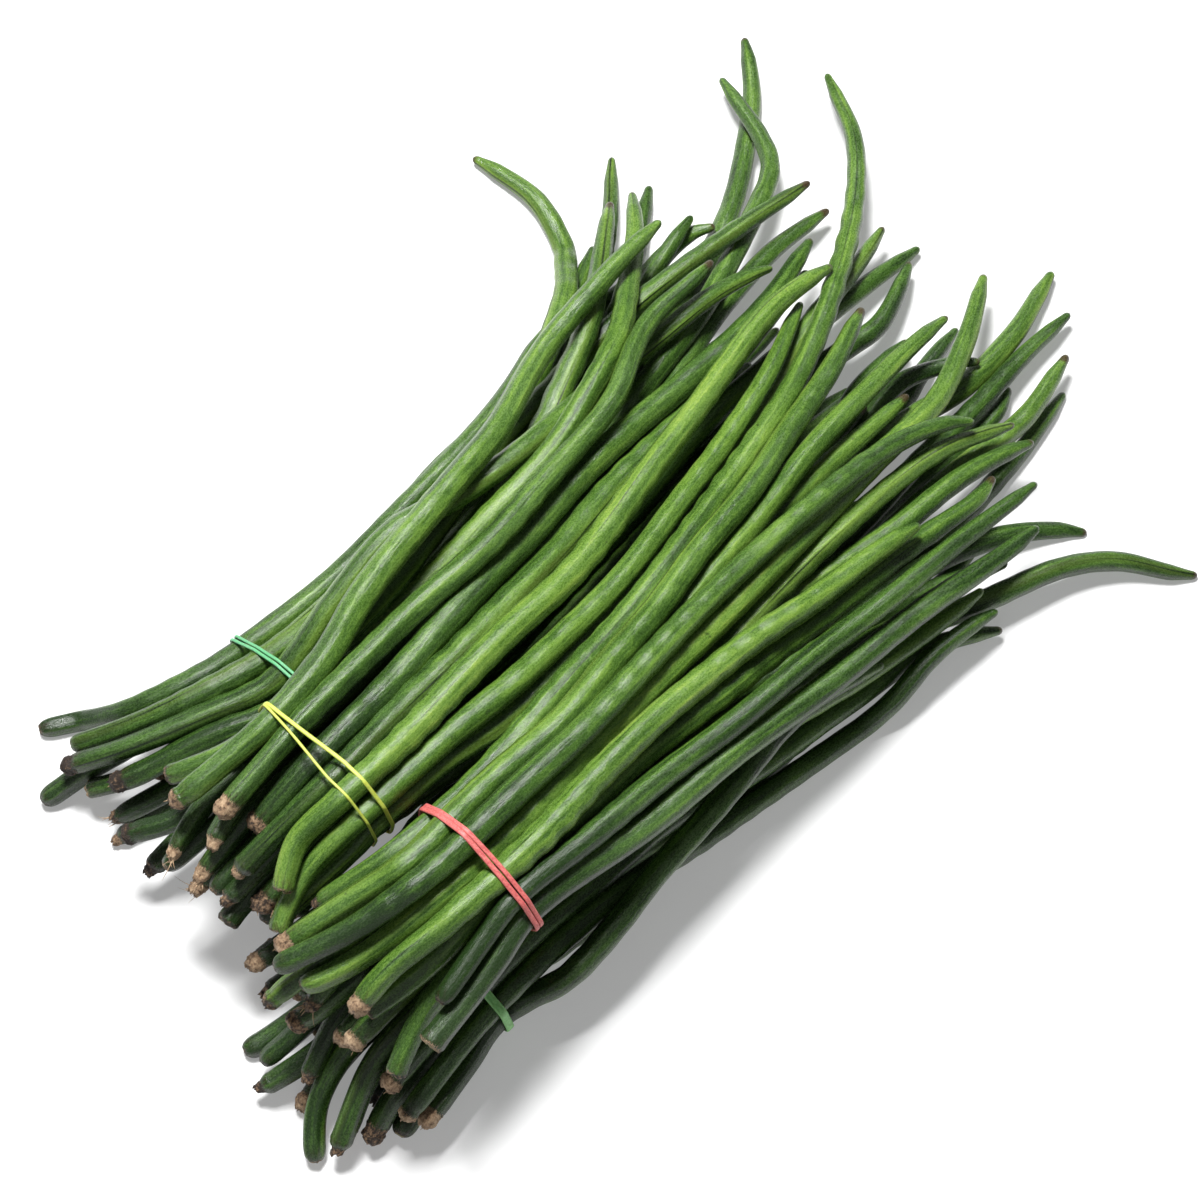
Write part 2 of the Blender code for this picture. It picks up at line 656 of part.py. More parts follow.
def new_object(name, bm, colour, roughness):
    mesh = bpy.data.meshes.new(name)
    bm.to_mesh(mesh)
    bm.free()
    material = bpy.data.materials.new(name)
    material.use_nodes = True
    shader = material.node_tree.nodes["Principled BSDF"]
    shader.inputs["Base Color"].default_value = colour
    shader.inputs["Roughness"].default_value = roughness
    shader.inputs["Metallic"].default_value = 0
    material.diffuse_color = colour
    mesh.materials.append(material)
    obj = bpy.data.objects.new(name, mesh)
    bpy.context.scene.collection.objects.link(obj)
    return obj


def pod_shape(path, radius):
    """A pod as a tapered tube. Where it lies on the surface its underside is flat."""
    ahead = np.gradient(path, axis=0)
    ahead /= np.linalg.norm(ahead, axis=1)[:, None]
    side = np.cross((0, 0, 1), ahead)
    side /= np.linalg.norm(side, axis=1)[:, None]
    rise = np.cross(ahead, side)
    bm = bmesh.new()
    rings = []
    for point, r, s, u in zip(path, radius, side, rise):
        ring = []
        for i in range(TUBE_SIDES):
            angle = 2 * math.pi * i / TUBE_SIDES
            corner = point + r * (math.cos(angle) * s + math.sin(angle) * u)
            corner[2] = max(corner[2], 0)
            ring.append(bm.verts.new(corner * MM))
        rings.append(ring)
    for one, two in zip(rings, rings[1:]):
        for i in range(TUBE_SIDES):
            j = (i + 1) % TUBE_SIDES
            bm.faces.new((one[i], one[j], two[j], two[i]))
    bm.faces.new(rings[0][::-1])
    bm.faces.new(rings[-1])
    bmesh.ops.recalc_face_normals(bm, faces=bm.faces)
    bmesh.ops.triangulate(bm, faces=bm.faces)
    return bm


def core_shape(name, paths):
    """What fills the bundle inside its band, as far out as the middles of its outer pods."""
    x = BUNDLES[name][0]
    bm = bmesh.new()
    for reach in (-CORE_HALF_LENGTH, CORE_HALF_LENGTH):
        for path in paths:
            bm.verts.new(at_x(path, x + reach) * MM)
    bmesh.ops.convex_hull(bm, input=bm.verts)
    loose = [v for v in bm.verts if not v.link_faces]
    bmesh.ops.delete(bm, geom=loose, context="VERTS")
    bmesh.ops.recalc_face_normals(bm, faces=bm.faces)
    return bm


def drop_scraps(obj):
    """Keeps the one body that the fused pods make, and drops any sealed hollow inside it."""
    bm = bmesh.new()
    bm.from_mesh(obj.data)
    left = set(bm.verts)
    shells = []
    while left:
        stack = [left.pop()]
        shell = set(stack)
        while stack:
            for edge in stack.pop().link_edges:
                for vert in edge.verts:
                    if vert in left:
                        left.remove(vert)
                        shell.add(vert)
                        stack.append(vert)
        shells.append(shell)
    shells.sort(key=len)
    for shell in shells[:-1]:
        bmesh.ops.delete(bm, geom=list(shell), context="VERTS")
    bm.to_mesh(obj.data)
    bm.free()


def fused(name, shapes, colour):
    """One solid from a bundle's shapes: the first is the object, and the rest are joined to it."""
    whole = new_object(name, shapes[0], colour, POD_ROUGHNESS)
    rest = bpy.data.collections.new(name + "_pods")
    bpy.context.scene.collection.children.link(rest)
    for i, shape in enumerate(shapes[1:]):
        mesh = bpy.data.meshes.new(f"{name}_{i}")
        shape.to_mesh(mesh)
        shape.free()
        rest.objects.link(bpy.data.objects.new(f"{name}_{i}", mesh))
    join = whole.modifiers.new("join", "BOOLEAN")
    join.operation = "UNION"
    join.operand_type = "COLLECTION"
    join.collection = rest
    join.solver = "MANIFOLD"
    bpy.context.view_layer.update()
    evaluated = whole.evaluated_get(bpy.context.evaluated_depsgraph_get())
    mesh = bpy.data.meshes.new_from_object(evaluated)
    whole.modifiers.remove(join)
    whole.data = mesh
    mesh.name = name
    for obj in list(rest.objects):
        bpy.data.objects.remove(obj)
    bpy.data.collections.remove(rest)
    drop_scraps(whole)
    return whole


def band_shape(name, line):
    """A rubber band: a flat strip bent round its bundle."""
    x = BUNDLES[name][0]
    ahead = np.roll(line, -1, axis=0) - np.roll(line, 1, axis=0)
    ahead /= np.linalg.norm(ahead, axis=1)[:, None]
    outward = np.stack([ahead[:, 1], -ahead[:, 0]], axis=1)
    half_wide, half_thick = BAND_WIDE[name] / 2, BAND_THICK / 2
    bm = bmesh.new()
    rings = []
    for point, out in zip(line, outward):
        ring = []
        for across, thick in ((-1, -1), (1, -1), (1, 1), (-1, 1)):
            y, z = point + out * half_thick * thick
            ring.append(bm.verts.new(np.array([x + across * half_wide, y, z]) * MM))
        rings.append(ring)
    for one, two in zip(rings, rings[1:] + rings[:1]):
        for i in range(4):
            j = (i + 1) % 4
            bm.faces.new((one[i], one[j], two[j], two[i]))
    bmesh.ops.recalc_face_normals(bm, faces=bm.faces)
    bmesh.ops.triangulate(bm, faces=bm.faces)
    return bm


def main():
    for obj in list(bpy.data.objects):
        bpy.data.objects.remove(obj)
    paths, bundles, seen, girth = lay_out()
    paths = space_apart(paths, bundles, seen, girth)
    radii = radii_along(paths, girth)
    low = (paths - radii[:, :, None]).min(axis=(0, 1))
    high = (paths + radii[:, :, None]).max(axis=(0, 1))
    middle = (low + high) / 2
    for number, name in enumerate(BUNDLES):
        own = bundles == number
        shapes = [core_shape(name, paths[own])]
        shapes += [pod_shape(path, radius) for path, radius in zip(paths[own], radii[own])]
        pods = fused("pods_" + name, shapes, POD_COLOUR[name])
        line = band_line(name, paths[own], radii[own])
        band = new_object("band_" + name, band_shape(name, line), BAND_COLOUR[name], BAND_ROUGHNESS)
        for obj in (pods, band):
            obj.data.transform(Matrix.Translation((-middle[0] * MM, -middle[1] * MM, 0)))
            obj.data.shade_smooth()
            obj.data.set_sharp_from_angle(angle=math.radians(40))


main()
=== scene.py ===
"""The looks of a heap of long cowpea pods, tied in four handfuls with rubber bands.

The pods are laid out and spaced as the solids are, so that each lies where its solid does.
"""

import math

import bpy
import numpy as np
from mathutils import Matrix, Vector


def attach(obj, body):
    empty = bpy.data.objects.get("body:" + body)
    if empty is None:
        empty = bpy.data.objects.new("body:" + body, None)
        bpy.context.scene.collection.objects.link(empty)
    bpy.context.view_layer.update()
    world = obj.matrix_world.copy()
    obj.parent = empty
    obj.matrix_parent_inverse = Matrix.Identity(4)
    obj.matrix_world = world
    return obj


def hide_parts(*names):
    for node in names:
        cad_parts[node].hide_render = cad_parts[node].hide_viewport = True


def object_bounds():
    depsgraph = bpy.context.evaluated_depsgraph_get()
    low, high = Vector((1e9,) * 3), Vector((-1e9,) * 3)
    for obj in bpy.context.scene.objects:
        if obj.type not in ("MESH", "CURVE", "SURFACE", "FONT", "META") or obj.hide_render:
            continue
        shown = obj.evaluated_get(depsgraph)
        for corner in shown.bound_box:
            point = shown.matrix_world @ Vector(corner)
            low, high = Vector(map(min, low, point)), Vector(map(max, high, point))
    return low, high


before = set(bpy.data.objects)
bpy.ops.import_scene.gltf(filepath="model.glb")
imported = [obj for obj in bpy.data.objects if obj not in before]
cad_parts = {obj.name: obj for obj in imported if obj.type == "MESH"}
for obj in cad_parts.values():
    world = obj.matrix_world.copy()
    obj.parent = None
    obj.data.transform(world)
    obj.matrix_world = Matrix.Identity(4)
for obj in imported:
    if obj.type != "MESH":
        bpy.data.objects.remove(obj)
cad_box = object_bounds()

MM = 0.001
TINY = 1e-6
NEARBY = 3
SEED = 41

# The heap is laid out as it looks from above its stem ends, 1150 mm away. A traced point is
# (across, up) in millimetres of that picture, whose middle looks at the point LOOKED_AT.
LOOK_AZIMUTH = math.radians(-45)
LOOK_ELEVATION = math.radians(68)
LOOK_DISTANCE = 1150
LOOKED_AT = (0, 0, 40)
PICTURE_MIDDLE = 200
PODS_RISE = math.radians(42.8)

# The dome that the uppermost pods follow: its height along the heap, and its half width.
DOME_STATIONS = (80, 120, 175, 250, 320, 380, 440, 480)
DOME_HEIGHTS = (44, 64, 86, 76, 60, 44, 26, 16)
DOME_HALF_WIDTHS = (90, 96, 82, 80, 86, 105, 125, 130)
DOME_MIDDLE = -5
DOME_EDGE = 8
LAYER = 9.0

STATIONS = 14
NECK = 7
SWELL = 95
TAPER = 30
BEAK = 10
BEND_WEIGHT = 70
FLOOR_SQUASH = 0.86

# How the pods are spaced: the gaps that they end with, and how they are moved.
POD_GAP = 0.5
BUNDLE_GAP = 1.1
ROUNDS = 700
SETTLING_ROUNDS = 420
SINK_A_ROUND = 0.02
SHOWN_POD_YIELDS = 0.25
PUSH_A_ROUND = 0.9
SMOOTHING = (0.3, 0.03)
SPRING_BACK = (0.07, 0.002)

# A band draws its pods in over this far to each side of it, less so further from it, and the
# other bundles' pods keep clear of it.
BAND_HOLD = 24
BAND_FLARE = 0.25
BAND_DRAW = 0.5
BAND_MARGIN = 3.6
UNDER_BAND = 2.9
LOW_BUNDLES = ("mint", "green")

# The pods inside the heap: where they can pass the band, and how they fan out from it.
SLOT_ACROSS = 9.8
SLOT_UP = 8.6
SLOT_ROWS = range(-3, 2)
SLOT_COLUMNS = range(-5, 6)
SLOT_EDGE = 5
BACK_REACH = (34, 56)
FRONT_REACH = (170, 240)
FAN = ((-1, 1.3), (-0.4, 1.1), (0, 1.0), (0.25, 1.1), (0.6, 1.3), (1.0, 1.6))
FAN_RISE = 0.8
BACK_DROOP = 0.12
LEAN_SPREAD = 8
# name: (how far its tips lean toward +Y, how much of its height it keeps at the tips)
HIDDEN_LIE = {"mint": (2, 0.75), "yellow": (8, 0.45), "pink": (4, 0.42), "green": (8, 0.75)}

# A pod's radius, and how it changes from its stem end to its tip.
GIRTH = (4.6, 5.4)
THINNING = 0.3
THINNING_LATE = 1.3
NECK_SHAPE = (0.54, 0.7, 0.75, 1)
TIP_SHAPE = (0.3, 0.78, 0.95, 1)
LAYER_MARKS = (0, 0.25, 0.6, 1)

# name: (x of the band, middle y, middle z, half width, half height, pods in all)
BUNDLES = {
    "mint": (-92.5, 39.5, 23.5, 41, 21, 22),
    "yellow": (-112, 13, 68, 28, 25, 21),
    "pink": (-99, -46, 70, 25.5, 24, 19),
    "green": (-120.5, -37.5, 22.5, 41, 20, 22),
}

# Every pod that shows: its depth in layers under the dome at the stem end, at the band and
# at the tip, and the points that it is seen to pass.
SEEN = {
    "mint": [
        ((0.6, 0.3, 0.2), [
            (12, 156), (45, 165), (74, 180), (102, 201), (128, 224), (152, 248), (171, 271), (184, 290),
        ]),
        ((0.2, 0.0, 0.3), [
            (21, 152), (60, 169), (88, 187), (112, 203), (131, 220), (152, 240), (172, 264), (187, 291),
            (190, 306), (184, 327), (168, 342), (158, 348),
        ]),
        ((0.0, 0.0, 0.8), [
            (18, 146), (48, 159), (75, 174), (100, 190), (120, 203), (143, 218), (165, 237), (186, 258),
            (206, 276), (226, 292), (245, 304), (258, 309),
        ]),
        ((0.0, 0.0, 0.8), [
            (32, 142), (62, 157), (88, 172), (112, 189), (136, 204), (160, 221), (180, 241), (195, 262),
            (207, 288), (211, 312), (211, 333),
        ]),
        ((0.8, 0.8, 0.6), [
            (58, 149), (80, 160), (99, 174), (120, 193), (150, 218), (178, 247), (196, 275), (203, 304),
            (206, 329),
        ]),
        ((1.5, 1.5, 0.6), [
            (13, 129), (29, 141), (50, 154), (80, 168), (110, 190), (140, 214), (165, 240), (180, 268),
            (191, 296), (198, 318),
        ]),
        ((1.0, 1.3, 0.6), [
            (27, 136), (45, 141), (65, 153), (92, 170), (120, 192), (150, 220), (175, 250), (192, 280),
            (201, 312), (204, 347),
        ]),
        ((1.5, 1.8, 0.6), [
            (33, 127), (50, 138), (75, 155), (105, 178), (140, 208), (172, 242), (195, 275), (211, 307),
            (217, 339),
        ]),
        ((1.2, 2.0, 0.6), [
            (37, 124), (56, 131), (80, 152), (112, 180), (150, 215), (182, 250), (202, 281), (217, 308),
            (231, 328),
        ]),
        ((2.0, 2.6, 0.6), [
            (45, 110), (60, 126), (85, 150), (120, 183), (155, 217), (187, 252), (205, 285), (215, 308),
            (226, 320), (239, 324),
        ]),
        ((2.4, 3.0, 1.0), [
            (33, 118), (55, 135), (85, 158), (120, 186), (160, 220), (195, 257), (216, 288), (228, 306),
        ]),
    ],
    "yellow": [
        ((0.0, 0.0, 0.2), [
            (58, 134), (75, 147), (94, 165), (111, 184), (127, 207), (145, 227), (163, 248), (180, 276),
            (201, 303), (221, 323),
        ]),
        ((0.3, 0.8, 0.4), [
            (54, 144), (74, 152), (94, 168), (118, 190), (145, 218), (170, 249), (195, 279), (220, 301),
            (243, 320), (271, 338),
        ]),
        ((0.0, 0.0, 0.0), [
            (72, 130), (88, 148), (104, 166), (123, 184), (143, 202), (163, 220), (183, 242), (202, 266),
            (215, 292), (236, 312),
        ]),
        ((0.0, 0.0, 0.3), [
            (84, 122), (100, 139), (116, 155), (133, 173), (151, 192), (170, 214), (190, 237), (211, 257),
            (233, 277), (254, 296), (270, 321),
        ]),
        ((0.0, 0.0, 0.7), [
            (79, 106), (97, 125), (115, 143), (133, 161), (151, 179), (169, 200), (188, 220), (207, 242),
            (226, 261), (245, 283), (270, 311),
        ]),
        ((0.3, 1.0, 0.5), [
            (74, 113), (83, 130), (96, 147), (116, 167), (145, 195), (175, 226), (204, 259), (229, 291),
            (248, 321), (257, 347), (249, 362), (241, 374),
        ]),
        ((0.0, 0.0, 0.0), [
            (95, 102), (100, 118), (116, 134), (135, 153), (155, 173), (175, 194), (196, 215), (213, 238),
            (229, 260), (245, 282), (262, 301), (277, 311),
        ]),
        ((0.3, 0.4, 0.2), [
            (94, 87), (101, 104), (114, 119), (130, 136), (150, 153), (170, 169), (190, 189), (210, 209),
            (227, 231), (243, 254), (257, 275), (268, 299),
        ]),
        ((1.4, 1.6, 0.8), [
            (92, 92), (108, 106), (124, 124), (143, 140), (165, 156), (186, 176), (207, 199), (228, 226),
            (246, 252), (262, 280), (278, 302), (295, 325),
        ]),
        ((0.4, 0.9, 0.8), [
            (56, 114), (65, 130), (82, 148), (100, 167), (122, 190), (150, 216), (178, 248), (200, 278),
            (214, 308),
        ]),
        ((1.0, 1.4, 1.0), [
            (68, 103), (80, 117), (100, 137), (125, 161), (155, 190), (185, 222), (212, 256), (232, 290),
            (250, 313), (276, 332),
        ]),
        ((1.6, 1.8, 0.3), [
            (66, 99), (79, 114), (98, 134), (125, 163), (155, 193), (185, 228), (208, 262), (223, 297),
            (236, 320), (245, 344), (250, 370), (247, 389),
        ]),
        ((1.6, 1.8, 0.8), [
            (76, 96), (92, 112), (112, 130), (140, 155), (170, 184), (200, 217), (228, 250), (254, 278),
            (280, 299), (308, 320),
        ]),
        ((1.8, 2.2, 0.8), [
            (88, 93), (105, 110), (130, 135), (160, 163), (190, 195), (220, 228), (248, 258), (275, 280),
            (294, 294), (304, 314),
        ]),
        ((2.4, 2.6, 1.6), [
            (98, 90), (115, 108), (135, 127), (158, 149), (188, 179), (222, 211), (258, 243), (292, 272),
        ]),
    ],
    "pink": [
        ((0.5, 0.3, 0.2), [
            (104, 97), (125, 110), (146, 127), (170, 151), (190, 171), (206, 192), (223, 213), (241, 237),
            (257, 259), (270, 284), (280, 309), (285, 336), (284, 356), (276, 376),
        ]),
        ((0.2, 0.0, 0.0), [
            (93, 83), (113, 96), (134, 110), (152, 127), (172, 146), (192, 164), (209, 185), (226, 207),
            (243, 228), (259, 250), (274, 273), (288, 297),
        ]),
        ((0.0, 0.0, 0.0), [
            (92, 78), (111, 86), (131, 100), (151, 117), (171, 135), (191, 154), (209, 174), (229, 194),
            (249, 213), (269, 231), (289, 246), (309, 257), (324, 259),
        ]),
        ((0.0, 0.0, 0.5), [
            (100, 72), (117, 79), (135, 92), (153, 107), (171, 125), (189, 143), (207, 163), (226, 181),
            (246, 200), (264, 219), (282, 237), (300, 254), (314, 270), (323, 288), (328, 309),
        ]),
        ((0.0, 0.0, 0.0), [
            (118, 63), (127, 75), (145, 89), (163, 106), (181, 123), (199, 141), (217, 160), (237, 176),
            (257, 191), (277, 205), (306, 225),
        ]),
        ((0.3, 0.3, 0.6), [
            (123, 62), (140, 75), (158, 93), (176, 112), (194, 129), (212, 146), (231, 162), (255, 180),
            (280, 199), (305, 219), (323, 231), (331, 241),
        ]),
        ((1.0, 1.2, 0.2), [
            (117, 50), (130, 64), (150, 84), (172, 109), (196, 135), (220, 162), (243, 187), (265, 209),
            (290, 233), (315, 250), (338, 259),
        ]),
        ((0.3, 0.3, 0.2), [
            (130, 42), (138, 60), (152, 80), (168, 99), (190, 119), (220, 143), (245, 161), (270, 176),
            (297, 189), (320, 206),
        ]),
        ((0.8, 0.8, 0.4), [
            (140, 56), (150, 68), (165, 86), (184, 104), (210, 127), (235, 143), (262, 159), (285, 172),
            (305, 186), (328, 204),
        ]),
        ((1.2, 1.2, 0.2), [
            (90, 64), (105, 77), (130, 97), (160, 123), (190, 152), (216, 182), (240, 211), (260, 237),
            (280, 260), (300, 281), (316, 294),
        ]),
        ((1.0, 1.4, 0.3), [
            (104, 62), (114, 77), (130, 93), (152, 112), (178, 138), (205, 168), (230, 197), (252, 222),
            (275, 243), (303, 269),
        ]),
        ((1.4, 1.8, 0.3), [
            (94, 57), (110, 68), (135, 88), (160, 108), (190, 136), (225, 168), (255, 192), (285, 213),
            (310, 231), (330, 246), (345, 253),
        ]),
        ((1.4, 2.2, 0.5), [
            (112, 52), (130, 71), (155, 94), (185, 122), (215, 151), (250, 183), (285, 213), (315, 240),
            (342, 262), (357, 282),
        ]),
        ((1.8, 2.4, 0.5), [
            (97, 67), (116, 82), (145, 107), (175, 134), (210, 167), (245, 201), (275, 232), (300, 258),
            (322, 273), (339, 289), (352, 311),
        ]),
    ],
    "green": [
        ((0.4, 0.3, 0.2), [
            (133, 25), (149, 46), (167, 67), (188, 87), (213, 107), (241, 125), (269, 145), (294, 164),
            (315, 186), (333, 197),
        ]),
        ((0.6, 1.0, 0.4), [
            (129, 33), (145, 50), (163, 69), (182, 88), (200, 105), (220, 122), (241, 136), (265, 151),
            (288, 168), (312, 184), (336, 190),
        ]),
        ((0.6, 0.6, 0.8), [
            (141, 22), (156, 41), (170, 62), (190, 85), (214, 112), (238, 137), (260, 160), (278, 173),
            (293, 180),
        ]),
        ((1.2, 1.6, 0.5), [
            (104, 9), (104, 24), (113, 43), (131, 63), (155, 87), (185, 117), (220, 146), (255, 170),
            (285, 187), (312, 201), (338, 211),
        ]),
        ((0.8, 1.2, 0.1), [
            (109, 14), (117, 35), (131, 56), (153, 79), (181, 107), (216, 138), (250, 163), (285, 182),
            (316, 195), (346, 208), (370, 213), (400, 207),
        ]),
        ((1.6, 1.8, 0.4), [
            (114, 12), (124, 36), (142, 59), (168, 85), (198, 115), (230, 147), (262, 176), (292, 200),
            (320, 222), (342, 245), (358, 268),
        ]),
        ((1.4, 1.6, 0.3), [
            (122, 17), (131, 35), (147, 55), (170, 80), (200, 109), (232, 141), (264, 173), (290, 197),
            (313, 214), (336, 222), (352, 224), (365, 223),
        ]),
        ((1.0, 2.4, 0.5), [
            (103, 34), (111, 52), (127, 71), (152, 95), (182, 124), (216, 157), (250, 189), (280, 218),
            (308, 248), (330, 272), (356, 297),
        ]),
        ((2.6, 3.4, 0.8), [
            (85, 34), (102, 43), (123, 63), (152, 92), (186, 124), (220, 158), (255, 193), (285, 222),
            (312, 245), (331, 260), (338, 272),
        ]),
        ((2.4, 3.2, 0.8), [
            (88, 41), (108, 58), (135, 83), (170, 115), (205, 152), (240, 192), (270, 228), (291, 261),
            (308, 275), (328, 276),
        ]),
        ((2.6, 3.4, 1.0), [
            (80, 45), (95, 54), (117, 71), (147, 96), (182, 127), (215, 162), (246, 202), (268, 240),
            (285, 272), (302, 287),
        ]),
        ((2.8, 3.4, 1.0), [
            (98, 26), (115, 47), (140, 73), (175, 107), (210, 144), (245, 184), (275, 226), (298, 262),
            (310, 279), (320, 292),
        ]),
    ],
}


def look_axes():
    """The directions toward the eye, to its right and up its picture."""
    azimuth, elevation = LOOK_AZIMUTH, LOOK_ELEVATION
    back = np.array([
        math.sin(azimuth) * math.cos(elevation),
        -math.cos(azimuth) * math.cos(elevation),
        math.sin(elevation),
    ])
    right = np.array([math.cos(azimuth), math.sin(azimuth), 0.0])
    return back, right, np.cross(back, right)


BACK, RIGHT, UP = look_axes()


def seen_at(across, up, height):
    """The points at these heights that are seen at these places of the picture."""
    eye = np.array(LOOKED_AT) + BACK * LOOK_DISTANCE
    ray = (
        -BACK * LOOK_DISTANCE
        + np.multiply.outer(across - PICTURE_MIDDLE, RIGHT)
        + np.multiply.outer(up - PICTURE_MIDDLE, UP)
    )
    reach = (height - eye[2]) / ray[:, 2]
    return eye + ray * reach[:, None]


def dome_height(across, up):
    """How high the uppermost pods lie where they are seen at this place of the picture."""
    run, rise = math.cos(PODS_RISE), math.sin(PODS_RISE)
    along = run * across + rise * up
    aside = rise * across - run * up
    peak = np.interp(along, DOME_STATIONS, DOME_HEIGHTS)
    half_width = np.interp(along, DOME_STATIONS, DOME_HALF_WIDTHS)
    share = np.clip((aside - DOME_MIDDLE) / half_width, -1, 1)
    return DOME_EDGE + (peak - DOME_EDGE) * np.sqrt(1 - share**2)


def curve_through(points, per_span=10):
    """A smooth line through the points, close together (a centripetal Catmull-Rom curve)."""
    knots = np.asarray(points, float)
    knots = np.vstack([2 * knots[0] - knots[1], knots, 2 * knots[-1] - knots[-2]])
    times = np.concatenate([[0], np.cumsum(np.linalg.norm(np.diff(knots, axis=0), axis=1) ** 0.5)])
    line = []
    for i in range(1, len(knots) - 2):
        t = np.linspace(times[i], times[i + 1], per_span, endpoint=False)[:, None]
        t0, t1, t2, t3 = times[i - 1 : i + 3]
        a1 = ((t1 - t) * knots[i - 1] + (t - t0) * knots[i]) / (t1 - t0)
        a2 = ((t2 - t) * knots[i] + (t - t1) * knots[i + 1]) / (t2 - t1)
        a3 = ((t3 - t) * knots[i + 1] + (t - t2) * knots[i + 2]) / (t3 - t2)
        b1 = ((t2 - t) * a1 + (t - t0) * a2) / (t2 - t0)
        b2 = ((t3 - t) * a2 + (t - t1) * a3) / (t3 - t1)
        line.append(((t2 - t) * b1 + (t - t1) * b2) / (t2 - t1))
    line.append(knots[-2:-1])
    return np.vstack(line)


def along_line(line):
    """How far along the line each of its points is."""
    return np.concatenate([[0], np.cumsum(np.linalg.norm(np.diff(line, axis=0), axis=1))])


def in_stations(line):
    """The line as STATIONS points: its ends, its neck, its taper, and the rest closer where it bends."""
    length = along_line(line)
    ahead = np.diff(line, axis=0)
    ahead /= np.linalg.norm(ahead, axis=1)[:, None]
    turn = np.concatenate([[0], np.arccos(np.clip((ahead[1:] * ahead[:-1]).sum(axis=1), -1, 1)), [0]])
    effort = length + BEND_WEIGHT * np.cumsum(turn)
    first, last = np.interp([NECK, length[-1] - TAPER], length, effort)
    inner = np.interp(np.linspace(first, last, STATIONS - 3), effort, length)
    marks = np.concatenate([[0], inner, [length[-1] - BEAK, length[-1]]])
    return np.stack([np.interp(marks, length, line[:, i]) for i in range(3)], axis=1)


def seen_path(layers, points):
    """The path of a pod that shows, from its traced points and its depth under the dome."""
    flat = curve_through(points)
    across, up = flat[:, 0], flat[:, 1]
    share = along_line(flat)
    share /= share[-1]
    stem, band, tip = layers
    layer = np.interp(share, LAYER_MARKS, (stem, band, band, tip))
    height = np.maximum(dome_height(across, up) - LAYER * layer, DOME_EDGE)
    return in_stations(seen_at(across, up, height))


def at_x(path, x):
    """Where the path, which runs along X, passes this x."""
    after = int(np.argmax(path[:, 0] > x))
    before = path[after - 1]
    share = (x - before[0]) / (path[after][0] - before[0])
    return before + share * (path[after] - before)


def free_slots(name, taken, count):
    """Places in the bundle's band that are furthest from those already taken."""
    _, y, z, half_width, half_height, _ = BUNDLES[name]
    slots = []
    for row in SLOT_ROWS:
        for column in SLOT_COLUMNS:
            side, rise = SLOT_ACROSS * (column + 0.5 * (row % 2)), SLOT_UP * row
            if np.hypot(side / (half_width - SLOT_EDGE), rise / (half_height - SLOT_EDGE)) < 1:
                slots.append(np.array([y + side, z + rise]))
    chosen = []
    taken = list(taken)
    for _ in range(count):
        best = max(slots, key=lambda slot: min(np.linalg.norm(slot - other) for other in taken))
        chosen.append(best)
        taken.append(best)
    return chosen


def hidden_path(name, slot, draw):
    """A pod inside the heap: it leaves the band at its slot, and fans out toward both ends."""
    x, y, z, *_ = BUNDLES[name]
    back, front = draw.uniform(*BACK_REACH), draw.uniform(*FRONT_REACH)
    side, rise = slot[0] - y, slot[1] - z
    lean, low = HIDDEN_LIE[name]
    lean += draw.uniform(-LEAN_SPREAD, LEAN_SPREAD)
    points = []
    for step, spread in FAN:
        if step < 0:
            reach, sink = back, 1 + BACK_DROOP * step
        else:
            reach, sink = front, 1 - (1 - low) * step
        up = spread * rise * (FAN_RISE if step else 1)
        points.append((
            x + step * reach,
            y + spread * side + lean * max(step, 0),
            max(z * sink + up, DOME_EDGE),
        ))
    return in_stations(curve_through(points))


def lay_out():
    """Every pod's path, bundle, radius and whether it shows, before they are spaced."""
    draw = np.random.default_rng(SEED)
    paths, bundles, seen = [], [], []
    for number, (name, (x, *_, total)) in enumerate(BUNDLES.items()):
        shown = [seen_path(*pod) for pod in SEEN[name]]
        taken = [at_x(path, x)[1:] for path in shown]
        hidden = [hidden_path(name, slot, draw) for slot in free_slots(name, taken, total - len(shown))]
        paths += shown + hidden
        bundles += [number] * total
        seen += [True] * len(shown) + [False] * len(hidden)
    paths = np.array(paths)
    girth = draw.uniform(*GIRTH, len(paths))
    return paths, np.array(bundles), np.array(seen), girth


def radii_along(paths, girth):
    """Each station's radius: a neck at the stem end, a slight thinning, and a tapered beak."""
    length = np.linalg.norm(np.diff(paths, axis=1), axis=2)
    place = np.concatenate([np.zeros((len(paths), 1)), np.cumsum(length, axis=1)], axis=1)
    whole = place[:, -1:]
    left = whole - place
    body = 1 - THINNING * (place / whole) ** THINNING_LATE
    neck = np.interp(place, (0, NECK, 3 * NECK, SWELL), NECK_SHAPE)
    tip = np.interp(left, (0, BEAK, TAPER, 2 * TAPER), TIP_SHAPE)
    return girth[:, None] * body * neck * tip


def nearest_points(a0, a1, b0, b1):
    """How far along each pair of straight pieces their nearest points lie."""
    d1, d2, r = a1 - a0, b1 - b0, a0 - b0
    a, e = (d1 * d1).sum(1), (d2 * d2).sum(1)
    b, c, f = (d1 * d2).sum(1), (d1 * r).sum(1), (d2 * r).sum(1)
    s = np.clip((b * f - c * e) / np.maximum(a * e - b * b, TINY), 0, 1)
    t = np.clip((b * s + f) / e, 0, 1)
    s = np.clip((b * t - c) / a, 0, 1)
    return s, t


